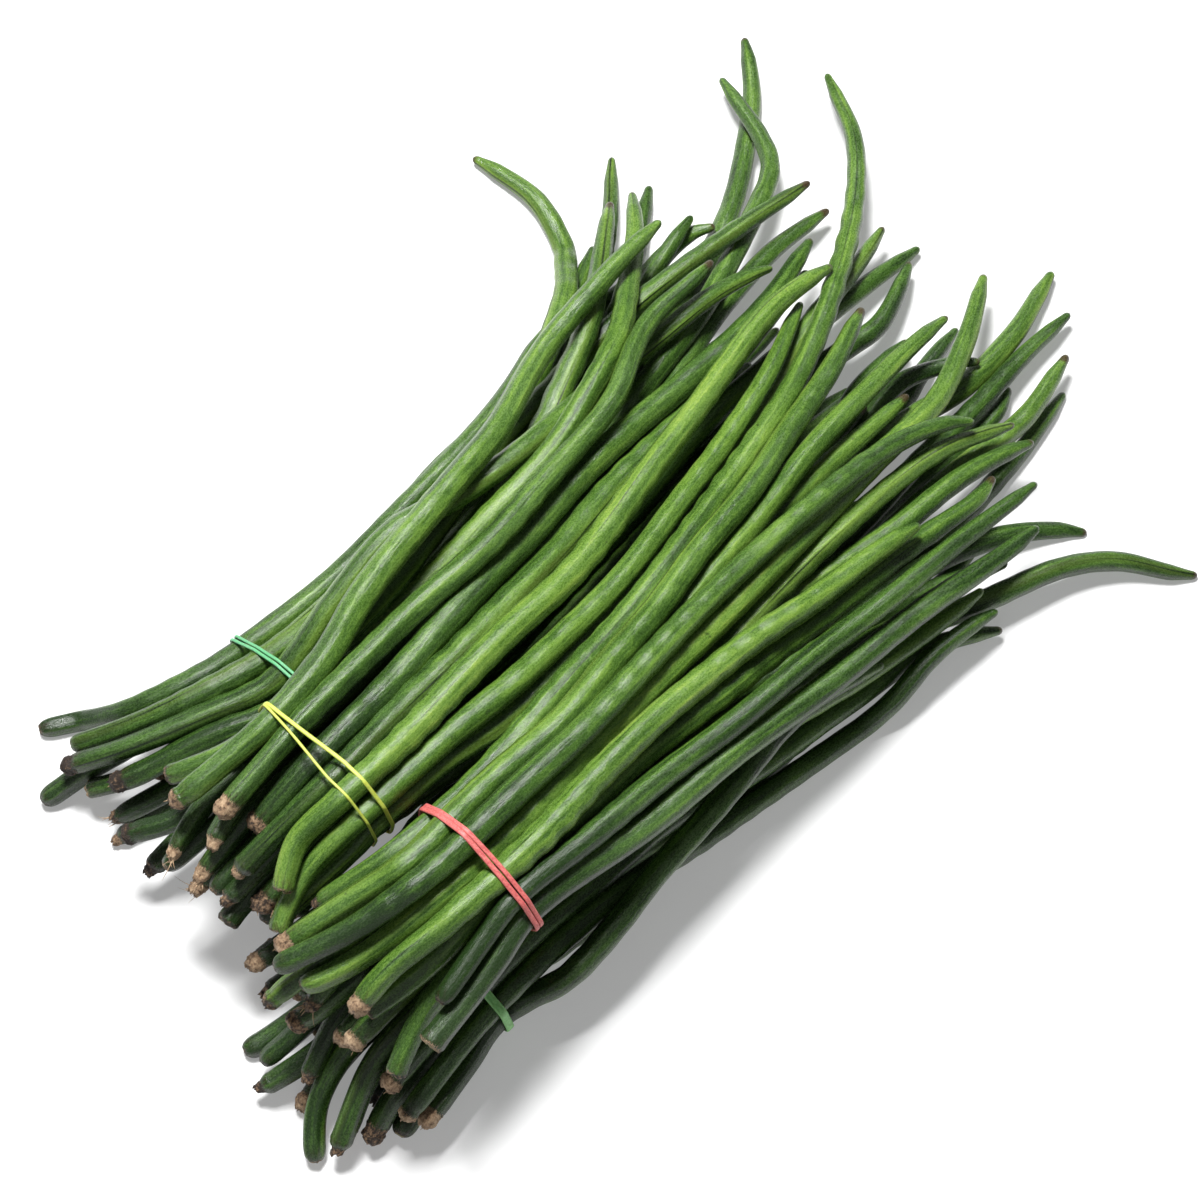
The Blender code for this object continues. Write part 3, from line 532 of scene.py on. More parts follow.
def near_pairs(paths, radii):
    """Pairs of straight pieces, of different pods, that come near each other."""
    middle = (paths[:, 1:] + paths[:, :-1]).reshape(-1, 3) / 2
    half = np.linalg.norm(paths[:, 1:] - paths[:, :-1], axis=2).ravel() / 2
    pod = np.repeat(np.arange(len(paths)), paths.shape[1] - 1)
    reach = half + radii[:, 1:].ravel() + NEARBY
    square = (middle**2).sum(1)
    apart = square[:, None] + square[None] - 2 * middle @ middle.T
    near = apart < (reach[:, None] + reach[None]) ** 2
    first, second = np.nonzero(np.triu(near, 1))
    other = pod[first] != pod[second]
    return first[other], second[other], pod


def squeeze_in_bands(paths, radii, bundles):
    """Draws each bundle's pods into its band, and keeps the other bundles' pods out of it."""
    for number, (x, y, z, half_width, half_height, _) in enumerate(BUNDLES.values()):
        own = bundles == number
        away = (paths[:, :, 0] - x) / BAND_HOLD
        near = np.abs(away) < 1
        side, rise = paths[:, :, 1] - y, paths[:, :, 2] - z
        room = 1 + BAND_FLARE * away**2
        share = np.hypot(side / (half_width - radii), rise / (half_height - radii)) / room
        pull = near & own[:, None] & (share > 1)
        factor = np.where(pull, 1 - BAND_DRAW * (1 - 1 / np.maximum(share, TINY)), 1)
        margin = radii + BAND_MARGIN
        share = np.hypot(side / (half_width + margin), rise / (half_height + margin))
        push = near & ~own[:, None] & (share < 1)
        factor = np.where(push, 1 + BAND_DRAW * (1 / np.maximum(share, BAND_DRAW) - 1), factor)
        paths[:, :, 1] = y + side * factor
        paths[:, :, 2] = z + rise * factor


def pieces_in_reach(paths, radii, bundles, yielding):
    """Pairs of pods' straight pieces to keep apart: pods, places, the gap, and the first's share."""
    first, second, pod = near_pairs(paths, radii)
    a_pod, b_pod = pod[first], pod[second]
    a_at, b_at = first % (STATIONS - 1), second % (STATIONS - 1)
    gap = np.where(bundles[a_pod] == bundles[b_pod], POD_GAP, BUNDLE_GAP)
    a_share = yielding[a_pod] / (yielding[a_pod] + yielding[b_pod])
    return a_pod, b_pod, a_at, b_at, gap, a_share


def pushed_apart(paths, radii, pieces):
    """The paths after each pair of pieces that is too close has moved apart."""
    a_pod, b_pod, a_at, b_at, gap, a_share = pieces
    a0, a1 = paths[a_pod, a_at], paths[a_pod, a_at + 1]
    b0, b1 = paths[b_pod, b_at], paths[b_pod, b_at + 1]
    s, t = nearest_points(a0, a1, b0, b1)
    between = a0 + s[:, None] * (a1 - a0) - b0 - t[:, None] * (b1 - b0)
    apart = np.linalg.norm(between, axis=1)
    a_radius = (1 - s) * radii[a_pod, a_at] + s * radii[a_pod, a_at + 1]
    b_radius = (1 - t) * radii[b_pod, b_at] + t * radii[b_pod, b_at + 1]
    need = a_radius + b_radius + gap - apart
    hit = need > 0
    push = between[hit] / np.maximum(apart[hit], TINY)[:, None] * need[hit][:, None]
    moved = np.zeros_like(paths)
    weight = np.zeros(paths.shape[:2])
    for pods, at, part, sign in (
        (a_pod[hit], a_at[hit], s[hit], a_share[hit]),
        (b_pod[hit], b_at[hit], t[hit], a_share[hit] - 1),
    ):
        for step, share in ((0, 1 - part), (1, part)):
            np.add.at(moved, (pods, at + step), push * (sign * share)[:, None])
            np.add.at(weight, (pods, at + step), share)
    return paths + PUSH_A_ROUND * moved / np.maximum(weight, 1)[:, :, None]


def least_height(paths, radii, bundles):
    """How high each station has to be: on the surface, or on the band that passes under it."""
    height = radii * FLOOR_SQUASH
    for number, (name, (x, *_)) in enumerate(BUNDLES.items()):
        if name in LOW_BUNDLES:
            beside = np.abs(paths[:, :, 0] - x) < BAND_HOLD
            height += UNDER_BAND * (beside & (bundles == number)[:, None])
    return height


def space_apart(paths, bundles, seen, girth):
    """Moves the pods, a little at a time, until none runs into another and all lie in the heap.

    A pod that shows gives way mostly toward or from the eye, so that it stays where it is seen.
    """
    target = paths.copy()
    paths = paths.copy()
    shown = seen[:, None, None]
    yielding = np.where(seen, SHOWN_POD_YIELDS, 1)
    for turn in range(ROUNDS):
        settling = turn < SETTLING_ROUNDS
        radii = radii_along(paths, girth)
        if turn % 5 == 0:
            pieces = pieces_in_reach(paths, radii, bundles, yielding)
        paths = pushed_apart(paths, radii, pieces)
        if settling:
            paths -= SINK_A_ROUND * np.where(shown, BACK, (0, 0, 1))
        squeeze_in_bands(paths, radii, bundles)
        shift = paths - target
        ease = SMOOTHING[0] if settling else SMOOTHING[1]
        shift[:, 1:-1] += ease * ((shift[:, 2:] + shift[:, :-2]) / 2 - shift[:, 1:-1])
        shift[:, 0] += ease * (shift[:, 1] - shift[:, 0])
        shift[:, -1] += ease * (shift[:, -2] - shift[:, -1])
        if settling:
            depth = (shift @ BACK)[:, :, None] * BACK
            shift -= np.where(shown, *SPRING_BACK) * (shift - depth)
        paths = target + shift
        paths[:, :, 2] = np.maximum(paths[:, :, 2], least_height(paths, radii, bundles))
    return paths


def hull_round(points):
    """The convex outline round these points of a plane, anticlockwise."""
    order = sorted(map(tuple, points))

    def chain(ordered):
        kept = []
        for p in ordered:
            while len(kept) > 1:
                (ax, ay), (bx, by) = kept[-2], kept[-1]
                if (bx - ax) * (p[1] - ay) - (by - ay) * (p[0] - ax) > 0:
                    break
                kept.pop()
            kept.append(p)
        return kept[:-1]

    return np.array(chain(order) + chain(order[::-1]))


# How the pods look. One entry for every pod that shows, in the order of SEEN.
# name: how green it is at its stem half and beyond, from 0, dark, to 1, yellow-green
TINTS = {
    "mint": (
        (0.08, 0.36), (0.18, 0.46), (0.06, 0.38), (0.20, 0.48), (0.25, 0.35), (0.05, 0.30),
        (0.08, 0.30), (0.05, 0.28), (0.05, 0.30), (0.05, 0.30), (0.05, 0.25),
    ),
    "yellow": (
        (0.30, 0.42), (0.34, 0.36), (0.26, 0.38), (0.12, 0.34), (0.10, 0.36), (0.12, 0.36), (0.50, 0.58),
        (0.46, 0.52), (0.30, 0.42), (0.05, 0.30), (0.10, 0.35), (0.05, 0.35), (0.05, 0.30), (0.10, 0.30),
        (0.02, 0.25),
    ),
    "pink": (
        (0.30, 0.42), (0.42, 0.40), (0.12, 0.34), (0.52, 0.52), (0.46, 0.54), (0.36, 0.38), (0.22, 0.42),
        (0.22, 0.42), (0.40, 0.50), (0.40, 0.45), (0.25, 0.45), (0.15, 0.40), (0.20, 0.45), (0.15, 0.45),
    ),
    # The green handful's tints are set lower than its pods' own colour: painted shade for the heap's lower
    # right side, away from the light.
    "green": (
        (0.12, 0.18), (0.08, 0.20), (0.06, 0.16), (0.20, 0.24), (0.16, 0.22), (0.08, 0.18),
        (0.06, 0.14), (0.14, 0.26), (0.03, 0.22), (0.02, 0.20), (0.03, 0.18), (0.03, 0.18),
    ),
}
# name: what is left of the stalk at its stem end
STEM_ENDS = {
    "mint": ("blunt", "blunt", "cork", "cork", "cut", "blunt", "cut", "husk", "cork", "ring", "ring"),
    "yellow": (
        "cork", "cut", "cork", "cork", "ring", "ring", "cut",
        "cut", "husk", "husk", "husk", "husk", "ring", "cork", "ring",
    ),
    "pink": (
        "ring", "cork", "blunt", "blunt", "cork", "cut", "cork",
        "cut", "husk", "cork", "husk", "cork", "cork", "ring",
    ),
    "green": (
        "cork", "cork", "cork", "blunt", "ring", "cork", "cork", "ring", "ring", "blunt", "blunt", "cork",
    ),
}
# Pods inside the heap get darker tints than those that show: painted shade for the deep gaps between the
# pods.
HIDDEN_TINTS_DARKENED_AS_SHADE = (0.0, 0.22)
HIDDEN_ENDS = ("ring", "cork", "cut", "blunt")

# kind: (the radius at these distances from the stem end, how far the cork reaches, how rough it is,
# how many fibres stick out and how long they are)
END_MARKS = (0, 0.8, 2, 3.6, 4.8, 6.4, 9, 14, 22)
END_KINDS = {
    "cork": ((0.50, 0.74, 0.92, 0.95, 0.88, 0.96, 1.02, 1, 1), 4.6, 0.75, 2, 2.2),
    "ring": ((0.42, 0.54, 0.56, 0.84, 0.94, 0.92, 0.95, 0.98, 1), 2.6, 0.8, 1, 2),
    "cut": ((0.80, 0.94, 0.98, 0.96, 0.95, 0.96, 0.97, 0.99, 1), 0.7, 0.4, 1, 2.5),
    "blunt": ((0.42, 0.66, 0.82, 0.92, 0.95, 0.96, 0.97, 0.99, 1), 0.5, 0.15, 0, 1),
    "husk": ((0.46, 0.60, 0.66, 0.74, 0.80, 0.86, 0.92, 0.97, 1), 3.2, 1.0, 6, 6),
}

CORK_REACH_SPREAD = (0.65, 1.5)
END_SIZE = (0.9, 1.16)
END_SIZE_FADE = 6

# How finely a pod is drawn: more for one that shows, and more at both of its ends.
SIDES = {True: 22, False: 12}
RING_STEP = {True: 2.0, False: 4.0}
PER_SPAN = 24
END_STEP = 0.55
END_ZONE = 8
TIP_ZONE = 9
TIP_LENGTH = 2.6
ROUNDED_TIP = TIP_SHAPE[0] + 0.16

# The uneven surface of a pod. Heights are shares of its radius, lengths are millimetres and the
# seams' width is an angle.
SEED_SPACING = (9.5, 12.5)
SEED_HEIGHT = (0.035, 0.13)
SEED_ZONE = (22, 20)
SEED_SPREAD = 0.35
SEED_DRIFT, SEED_DRIFT_SPAN = 0.25, 31
SEED_UNEVEN, SEED_UNEVEN_SPAN = 0.35, 17
WOBBLE = 0.45
WOBBLE_SPAN = (9, 16)
PHASE = (0, 6)
SUTURE_HEIGHT = 0.05
SUTURE_WIDTH = 0.22
GROOVE_DEPTH = 0.04
OVAL = 0.035
TWIST = 1.6
DENT, DENT_SPAN, DENTS_ROUND = 0.012, 7, 3
CORNERS, CORNER_HEIGHT, CORNER_HEIGHT_AT_STEM = 5, 0.022, 0.045
CORNER_DRIFT, CORNER_FADE = 0.02, 30
LUMP_HEIGHT = 0.15
RAGGED_RIM = 0.5
RAGGED_FACE = (-0.3, 0.5)
# Where a pod's tint turns from its stem half's to the other: from here, over this length.
TINT_TURNS = (30, 90)
# How strong each pod's pale waxy bloom is, which is partly painted sheen; the same share also varies its
# cork's weathering.
WAX_AND_SHEEN_SHARES = (0.1, 1)
CUT_PATTERN = 3
FAR_FROM_SEAMS = (9.0, 9.0, 0.0)
BROWN_TIPS, BROWN_TIP_ODDS = (-2, 0.3, 3), (0.5, 0.35, 0.15)
FIBRE_STEPS, FIBRE_RADIUS, FIBRE_NARROWS, FIBRE_OVAL = 5, 0.32, 0.85, (1.6, 0.6)
FIBRE_SPREAD = 0.35
FIBRE_LENGTHS = (0.4, 1)
FIBRE_ROOT = 0.7
FLOOR_CLEAR = 0.15
# Each pod's skin pattern starts this far along from the pod before it.
POD_OFFSET = 1000

# A rubber band's strand: the planes in which its way round the pods is measured, and its section.
BAND_PLANES = (-12, -8, -4, 0, 4, 8, 12)
BAND_SAMPLES = 200
RIM_SAMPLES = 32
LEAST_FACING, FAR_AWAY = 0.01, 1e9
STRAND_CORNERS = 10
STRAND_GAP = 0.4
STRAND_FLAT, STRAND_TALL = 0.5, 0.7
STRAND_GRAIN = 30


def frames_along(line):
    """Two directions across the line at each of its points, turning as little as they can."""
    ahead = np.gradient(line, axis=0)
    ahead /= np.linalg.norm(ahead, axis=1)[:, None]
    side = np.empty_like(line)
    current = np.cross((0, 0, 1), ahead[0])
    for i, way in enumerate(ahead):
        current = current - way * (current @ way)
        current = current / np.linalg.norm(current)
        side[i] = current
    return side, np.cross(ahead, side)


def fine_line(path, shown):
    """The pod's middle line, with rings close together at both ends."""
    smooth = curve_through(path, per_span=PER_SPAN)
    length = along_line(smooth)
    whole = length[-1]
    marks = np.concatenate([
        np.arange(0, END_ZONE, END_STEP),
        np.arange(END_ZONE, whole - TIP_ZONE, RING_STEP[shown]),
        np.arange(whole - TIP_ZONE, whole, END_STEP),
    ])
    return marks, whole, np.stack([np.interp(marks, length, smooth[:, i]) for i in range(3)], axis=1)


def body_radius(marks, whole, girth, kind):
    """The radius along a pod: its stem end, a slight thinning, and a rounded beak."""
    left = whole - marks
    body = 1 - THINNING * (marks / whole) ** THINNING_LATE
    stem_end = np.interp(marks, END_MARKS, END_KINDS[kind][0])
    neck = np.interp(marks, (3 * NECK, SWELL), (NECK_SHAPE[2], 1)) * stem_end
    tip = np.interp(left, (TIP_LENGTH, BEAK, TAPER, 2 * TAPER), (ROUNDED_TIP, *TIP_SHAPE[1:]))
    rounding = np.sqrt(1 - np.clip(1 - left / TIP_LENGTH, 0, 1) ** 2)
    return girth * body * neck * tip * rounding


def seeds_along(marks, whole, draw):
    """A rise over each seed, from 0 between seeds to 1 over one."""
    spacing = draw.uniform(*SEED_SPACING)
    drift = SEED_DRIFT * np.sin(marks / SEED_DRIFT_SPAN + draw.uniform(*PHASE))
    phase = marks / spacing + drift + draw.uniform(0, 1)
    rise = 0.5 - 0.5 * np.cos(2 * math.pi * phase)
    uneven = 1 - SEED_UNEVEN + SEED_UNEVEN * np.sin(marks / SEED_UNEVEN_SPAN + draw.uniform(*PHASE))
    start, end = SEED_ZONE
    fade = np.clip((marks - start) / start, 0, 1) * np.clip((whole - marks - end) / end, 0, 1)
    return rise * uneven * fade


class Pieces:
    """Vertices, faces and what the material reads, gathered for one mesh."""

    def __init__(self):
        self.points, self.faces, self.count = [], [], 0
        self.values = {"straight": [], "ends": [], "looks": [], "marks": []}

    def add(self, points, faces, **values):
        self.points.append(points)
        self.faces += [tuple(corner + self.count for corner in face) for face in faces]
        self.count += len(points)
        for key, value in values.items():
            self.values[key].append(value)

    def mesh(self, name, box):
        mesh = bpy.data.meshes.new(name)
        mesh.from_pydata(np.clip(np.vstack(self.points), *box) * MM, [], self.faces)
        for key, value in self.values.items():
            if value:
                layer = mesh.attributes.new(key, "FLOAT_VECTOR", "POINT")
                layer.data.foreach_set("vector", np.vstack(value).astype(np.float32).ravel())
        mesh.shade_smooth()
        return mesh


def rings_to_faces(rings, sides):
    """The faces between rings of points that follow each other."""
    faces = []
    for ring in range(rings - 1):
        low = ring * sides
        for i in range(sides):
            j = (i + 1) % sides
            faces.append((low + i, low + j, low + sides + j, low + sides + i))
    return faces


def add_pod(pieces, number, path, girth, shown, tint, kind, draw):
    """One pod: rings along its line, drawn in and roughened at its stem end, and closed at both ends."""
    marks, whole, line = fine_line(path, shown)
    sides = SIDES[shown]
    side, rise = frames_along(line)
    drift = np.stack([
        np.sin(marks / draw.uniform(*WOBBLE_SPAN) + draw.uniform(*PHASE)),
        np.sin(marks / draw.uniform(*WOBBLE_SPAN) + draw.uniform(*PHASE)),
    ], axis=1)
    line = line + WOBBLE * (drift[:, :1] * side + drift[:, 1:] * rise)
    radius = body_radius(marks, whole, girth, kind)
    seeds = seeds_along(marks, whole, draw) * draw.uniform(*SEED_HEIGHT)
    _, cork, rough, fibres, fibre_length = END_KINDS[kind]
    cork *= draw.uniform(*CORK_REACH_SPREAD)
    size = draw.uniform(*END_SIZE)
    radius = radius * (1 + (size - 1) * np.exp(-marks / END_SIZE_FADE))

    turn = np.linspace(0, 2 * math.pi, sides, endpoint=False)
    suture = draw.uniform(0, 2 * math.pi) + draw.uniform(-TWIST, TWIST) * marks / whole
    from_suture = (turn[None] - suture[:, None] + math.pi) % (2 * math.pi) - math.pi
    from_groove = math.pi - np.abs(from_suture)
    across = np.sin(from_suture) ** 2
    shape = 1 + seeds[:, None] * (SEED_SPREAD + across) + OVAL * np.cos(2 * from_suture)
    shape += SUTURE_HEIGHT * np.exp(-((from_suture / SUTURE_WIDTH) ** 2))
    shape -= GROOVE_DEPTH * np.exp(-((from_groove / SUTURE_WIDTH) ** 2))
    place = marks[:, None]
    shape += DENT * np.sin(place / DENT_SPAN + DENTS_ROUND * turn[None] + draw.uniform(*PHASE))
    angular = CORNER_HEIGHT + CORNER_HEIGHT_AT_STEM * np.exp(-place / CORNER_FADE)
    shape += angular * np.sin(CORNERS * turn[None] + CORNER_DRIFT * place + draw.uniform(*PHASE))
    corky = np.clip(1 - marks / (cork + 1), 0, 1)[:, None] ** 0.5
    lumps = draw.normal(0, 1, (len(marks), sides))
    lumps = 0.5 * lumps + 0.25 * (np.roll(lumps, 1, axis=1) + np.roll(lumps, -1, axis=1))
    shape += LUMP_HEIGHT * rough * corky * lumps
    reach = radius[:, None] * shape
    cos, sin = np.cos(turn)[None], np.sin(turn)[None]
    points = (
        line[:, None]
        + (reach * cos)[:, :, None] * side[:, None]
        + (reach * sin)[:, :, None] * rise[:, None]
    )
    ahead = line[1] - line[0]
    ahead /= np.linalg.norm(ahead)
    points[0] += (RAGGED_RIM * rough * draw.normal(0, 1, sides))[:, None] * ahead
    points[:, :, 2] = np.maximum(points[:, :, 2], FLOOR_CLEAR)

    count = len(marks) * sides
    straight = np.stack([
        np.repeat(marks + POD_OFFSET * number, sides),
        (reach * cos).ravel(),
        (reach * sin).ravel(),
    ], axis=1)
    ends = np.stack([
        np.repeat(marks, sides), np.repeat(whole - marks, sides), np.full(count, cork),
    ], axis=1)
    stem_tint, far_tint = tint
    shade = stem_tint + (far_tint - stem_tint) * np.clip((marks - TINT_TURNS[0]) / TINT_TURNS[1], 0, 1)
    wax_and_sheen = draw.uniform(*WAX_AND_SHEEN_SHARES)
    brown_tip = draw.choice(BROWN_TIPS, p=BROWN_TIP_ODDS)
    looks = np.stack([np.repeat(shade, sides), np.full(count, wax_and_sheen), np.full(count, brown_tip)], axis=1)
    lines = np.stack([
        (np.abs(from_suture) * radius[:, None]).ravel(),
        (from_groove * radius[:, None]).ravel(),
        np.repeat(seeds / SEED_HEIGHT[1], sides),
    ], axis=1)
    faces = rings_to_faces(len(marks), sides)
    tip_ring = (len(marks) - 1) * sides

    # The cut face: a rough inner ring round the pith, and its middle.
    inner = points[0].mean(axis=0) + 0.5 * (points[0] - points[0].mean(axis=0))
    inner = inner + (rough * draw.normal(*RAGGED_FACE, sides))[:, None] * ahead
    middle = points[0].mean(axis=0) + ahead * 0.5
    tip = points[-1].mean(axis=0)
    inner_at, middle_at, tip_at = count, count + sides, count + sides + 1
    for i in range(sides):
        j = (i + 1) % sides
        faces.append((j, i, inner_at + i, inner_at + j))
        faces.append((inner_at + j, inner_at + i, middle_at))
        faces.append((tip_ring + i, tip_ring + j, tip_at))
    extra = sides + 2
    cap = np.tile(straight[:1], (extra, 1)) + draw.uniform(-CUT_PATTERN, CUT_PATTERN, (extra, 3))
    cap[-1] = straight[-1]
    cap_ends = np.tile(ends[:1], (extra, 1))
    cap_ends[:, 0] = -1
    cap_ends[-1] = ends[-1]
    cap_lines = np.tile(FAR_FROM_SEAMS, (extra, 1))
    pieces.add(
        np.vstack([points.reshape(-1, 3), inner, middle[None], tip[None]]),
        faces,
        straight=np.vstack([straight, cap]),
        ends=np.vstack([ends, cap_ends]),
        looks=np.vstack([looks, np.tile(looks[:1], (extra, 1))]),
        marks=np.vstack([lines, cap_lines]),
    )
    return points[0], ahead, fibres, fibre_length


def add_fibre(pieces, root, way, length, draw):
    """A dry fibre: a thin three-sided spike that bends."""
    steps = FIBRE_STEPS
    bend = draw.normal(0, FIBRE_SPREAD, 3)
    across = np.cross(way, draw.normal(0, 1, 3))
    across /= np.linalg.norm(across)
    other = np.cross(way, across)
    points = []
    for step in range(steps):
        share = step / (steps - 1)
        middle = root + way * length * share + bend * length * share**2
        thick = FIBRE_RADIUS * (1 - FIBRE_NARROWS * share)
        for i in range(3):
            angle = 2 * math.pi * i / 3
            wide, deep = FIBRE_OVAL[0] * math.cos(angle), FIBRE_OVAL[1] * math.sin(angle)
            points.append(middle + thick * (wide * across + deep * other))
    points = np.array(points)
    points[:, 2] = np.maximum(points[:, 2], FLOOR_CLEAR)
    end = 3 * (steps - 1)
    faces = rings_to_faces(steps, 3) + [(2, 1, 0), (end, end + 1, end + 2)]
    pieces.add(points, faces)


def outline_at(name, paths, radii, x):
    """How far a band would lie from the bundle's middle in every direction, at this x."""
    _, y, z, *_ = BUNDLES[name]
    turn = np.linspace(0, 2 * math.pi, RIM_SAMPLES, endpoint=False)
    rim = []
    for path, radius in zip(paths, radii):
        middle = at_x(path, x)[1:] - (y, z)
        thick = np.interp(x, path[:, 0], radius)
        rim.append(middle + thick * np.stack([np.cos(turn), np.sin(turn)], axis=1))
    outline = hull_round(np.vstack(rim))
    edge = np.roll(outline, -1, axis=0) - outline
    out = np.stack([edge[:, 1], -edge[:, 0]], axis=1)
    out /= np.linalg.norm(out, axis=1)[:, None]
    depth = (out * outline).sum(axis=1)
    angle = np.linspace(0, 2 * math.pi, BAND_SAMPLES, endpoint=False)
    way = np.stack([np.cos(angle), np.sin(angle)], axis=1)
    facing = way @ out.T
    reach = depth / np.maximum(facing, LEAST_FACING)
    return np.where(facing > LEAST_FACING, reach, FAR_AWAY).min(axis=1)


def strand(name, outlines, offset, wide, thick):
    """One turn of a rubber band: a rounded strip. offset gives its x, from the band's, all round."""
    x0, y0, z0, *_ = BUNDLES[name]
    angle = np.linspace(0, 2 * math.pi, BAND_SAMPLES, endpoint=False)
    away = offset(angle)
    reach = np.array([np.interp(away[i], BAND_PLANES, outlines[:, i]) for i in range(BAND_SAMPLES)])
    reach += thick / 2 + STRAND_GAP
    line = np.stack([x0 + away, y0 + reach * np.cos(angle), z0 + reach * np.sin(angle)], axis=1)
    ahead = np.roll(line, -1, axis=0) - np.roll(line, 1, axis=0)
    ahead /= np.linalg.norm(ahead, axis=1)[:, None]
    across = np.array([1.0, 0, 0]) - ahead * ahead[:, :1]
    across /= np.linalg.norm(across, axis=1)[:, None]
    out = np.cross(across, ahead)
    outward = (line - (x0, y0, z0)) * (0, 1, 1)
    out *= np.sign((out * outward).sum(axis=1))[:, None]
    turn = np.linspace(0, 2 * math.pi, STRAND_CORNERS, endpoint=False)
    flat = np.sign(np.cos(turn)) * np.abs(np.cos(turn)) ** STRAND_FLAT
    tall = np.sign(np.sin(turn)) * np.abs(np.sin(turn)) ** STRAND_TALL
    points = (
        line[:, None]
        + (wide / 2 * flat)[None, :, None] * across[:, None]
        + (thick / 2 * tall)[None, :, None] * out[:, None]
    )
    points[:, :, 2] = np.maximum(points[:, :, 2], FLOOR_CLEAR)
    faces = []
    for one in range(BAND_SAMPLES):
        two = (one + 1) % BAND_SAMPLES
        for i in range(STRAND_CORNERS):
            j = (i + 1) % STRAND_CORNERS
            low, high = one * STRAND_CORNERS, two * STRAND_CORNERS
            faces.append((low + i, low + j, high + j, high + i))
    round_at = np.repeat(angle * STRAND_GRAIN, STRAND_CORNERS)
    lane = np.tile(turn, BAND_SAMPLES)
    place = np.stack([round_at, np.cos(lane), np.sin(lane)], axis=1)
    return points.reshape(-1, 3), faces, place


def side_by_side(shift, sway):
    """A strand that lies beside the band's middle and sways a little."""
    return lambda angle: shift + sway * np.sin(2 * angle + shift)


MEETING_ANGLES = (0, 0.35, 2.0, 3.4, 2 * math.pi)
MEETING_SHARES = (0, 0, 1, 1, 0)


def meeting_left(reach):
    """A strand that meets the other at the left of the bundle, and lies apart from it further right."""
    return lambda angle: reach * np.interp(angle, MEETING_ANGLES, MEETING_SHARES)


# name: each strand's way round, its width and its thickness
STRANDS = {
    "mint": ((side_by_side(-1.0, 0.6), 1.1, 0.9), (side_by_side(1.0, -0.7), 1.05, 0.9)),
    "yellow": ((meeting_left(3.4), 1.4, 0.9), (meeting_left(-3.8), 0.95, 0.8)),
    "pink": ((side_by_side(-0.95, 0.25), 1.75, 1.0), (side_by_side(0.85, -0.3), 1.6, 0.9)),
    "green": ((side_by_side(0, 0.2), 3.1, 0.9),),
}


class Tree:
    """Short ways to add nodes to a material."""

    def __init__(self, name):
        self.material = bpy.data.materials.new(name)
        self.material.use_nodes = True
        self.nodes = self.material.node_tree.nodes
        self.links = self.material.node_tree.links
        self.shader = self.nodes["Principled BSDF"]

    def put(self, value, socket):
        if isinstance(value, bpy.types.NodeSocket):
            self.links.new(value, socket)
        else:
            socket.default_value = value

    def read(self, name):
        node = self.nodes.new("ShaderNodeAttribute")
        node.attribute_name = name
        parts = self.nodes.new("ShaderNodeSeparateXYZ")
        self.links.new(node.outputs["Vector"], parts.inputs[0])
        return node.outputs["Vector"], parts.outputs

    def sum(self, kind, *values):
        """The result of adding, subtracting or multiplying the values."""
        node = self.nodes.new("ShaderNodeMath")
        node.operation = kind
        for value, socket in zip(values, node.inputs):
            self.put(value, socket)
        return node.outputs[0]

    def step(self, value, low, high, to_low=0.0, to_high=1.0):
        """A smooth change from to_low to to_high as the value goes from low to high."""
        node = self.nodes.new("ShaderNodeMapRange")
        node.interpolation_type = "SMOOTHSTEP"
        for socket, number in zip(node.inputs, (value, low, high, to_low, to_high)):
            self.put(number, socket)
        return node.outputs[0]

    def varied(self, value, pattern, much):
        """The value, raised and lowered by the pattern, which goes from 0 to 1."""
        return self.sum("ADD", value, self.sum("MULTIPLY", self.sum("SUBTRACT", pattern, 0.5), much))

    def both(self, one, two):
        return self.sum("MULTIPLY", one, two)

    def stretched(self, vector, scale):
        node = self.nodes.new("ShaderNodeVectorMath")
        node.operation = "MULTIPLY"
        self.links.new(vector, node.inputs[0])
        node.inputs[1].default_value = scale
        return node.outputs[0]

    def noise(self, vector, scale, detail=3.0, rough=0.55):
        node = self.nodes.new("ShaderNodeTexNoise")
        self.links.new(vector, node.inputs["Vector"])
        node.inputs["Scale"].default_value = scale
        node.inputs["Detail"].default_value = detail
        node.inputs["Roughness"].default_value = rough
        return node.outputs["Fac"]

    def mix(self, share, one, two):
        node = self.nodes.new("ShaderNodeMix")
        node.data_type = "RGBA"
        self.put(share, node.inputs[0])
        self.put(one, node.inputs[6])
        self.put(two, node.inputs[7])
        return node.outputs[2]

    def ramp(self, value, *stops):
        node = self.nodes.new("ShaderNodeValToRGB")
        elements = node.color_ramp.elements
        while len(elements) < len(stops):
            elements.new(0.5)
        for element, (place, colour) in zip(elements, stops):
            element.position = place
            element.color = colour
        self.links.new(value, node.inputs[0])
        return node.outputs[0]

    def bump(self, height, strength, distance):
        node = self.nodes.new("ShaderNodeBump")
        node.inputs["Strength"].default_value = strength
        node.inputs["Distance"].default_value = distance
        self.links.new(height, node.inputs["Height"])
        self.links.new(node.outputs[0], self.shader.inputs["Normal"])

    def finish(self, colour, roughness):
        self.put(colour, self.shader.inputs["Base Color"])
        self.put(roughness, self.shader.inputs["Roughness"])
        return self.material


# Colours, in linear red, green and blue.
DARK_GREEN = (0.012, 0.030, 0.006, 1)
LEAF_GREEN = (0.042, 0.098, 0.013, 1)
FRESH_GREEN = (0.110, 0.205, 0.028, 1)
YELLOW_GREEN = (0.230, 0.330, 0.048, 1)
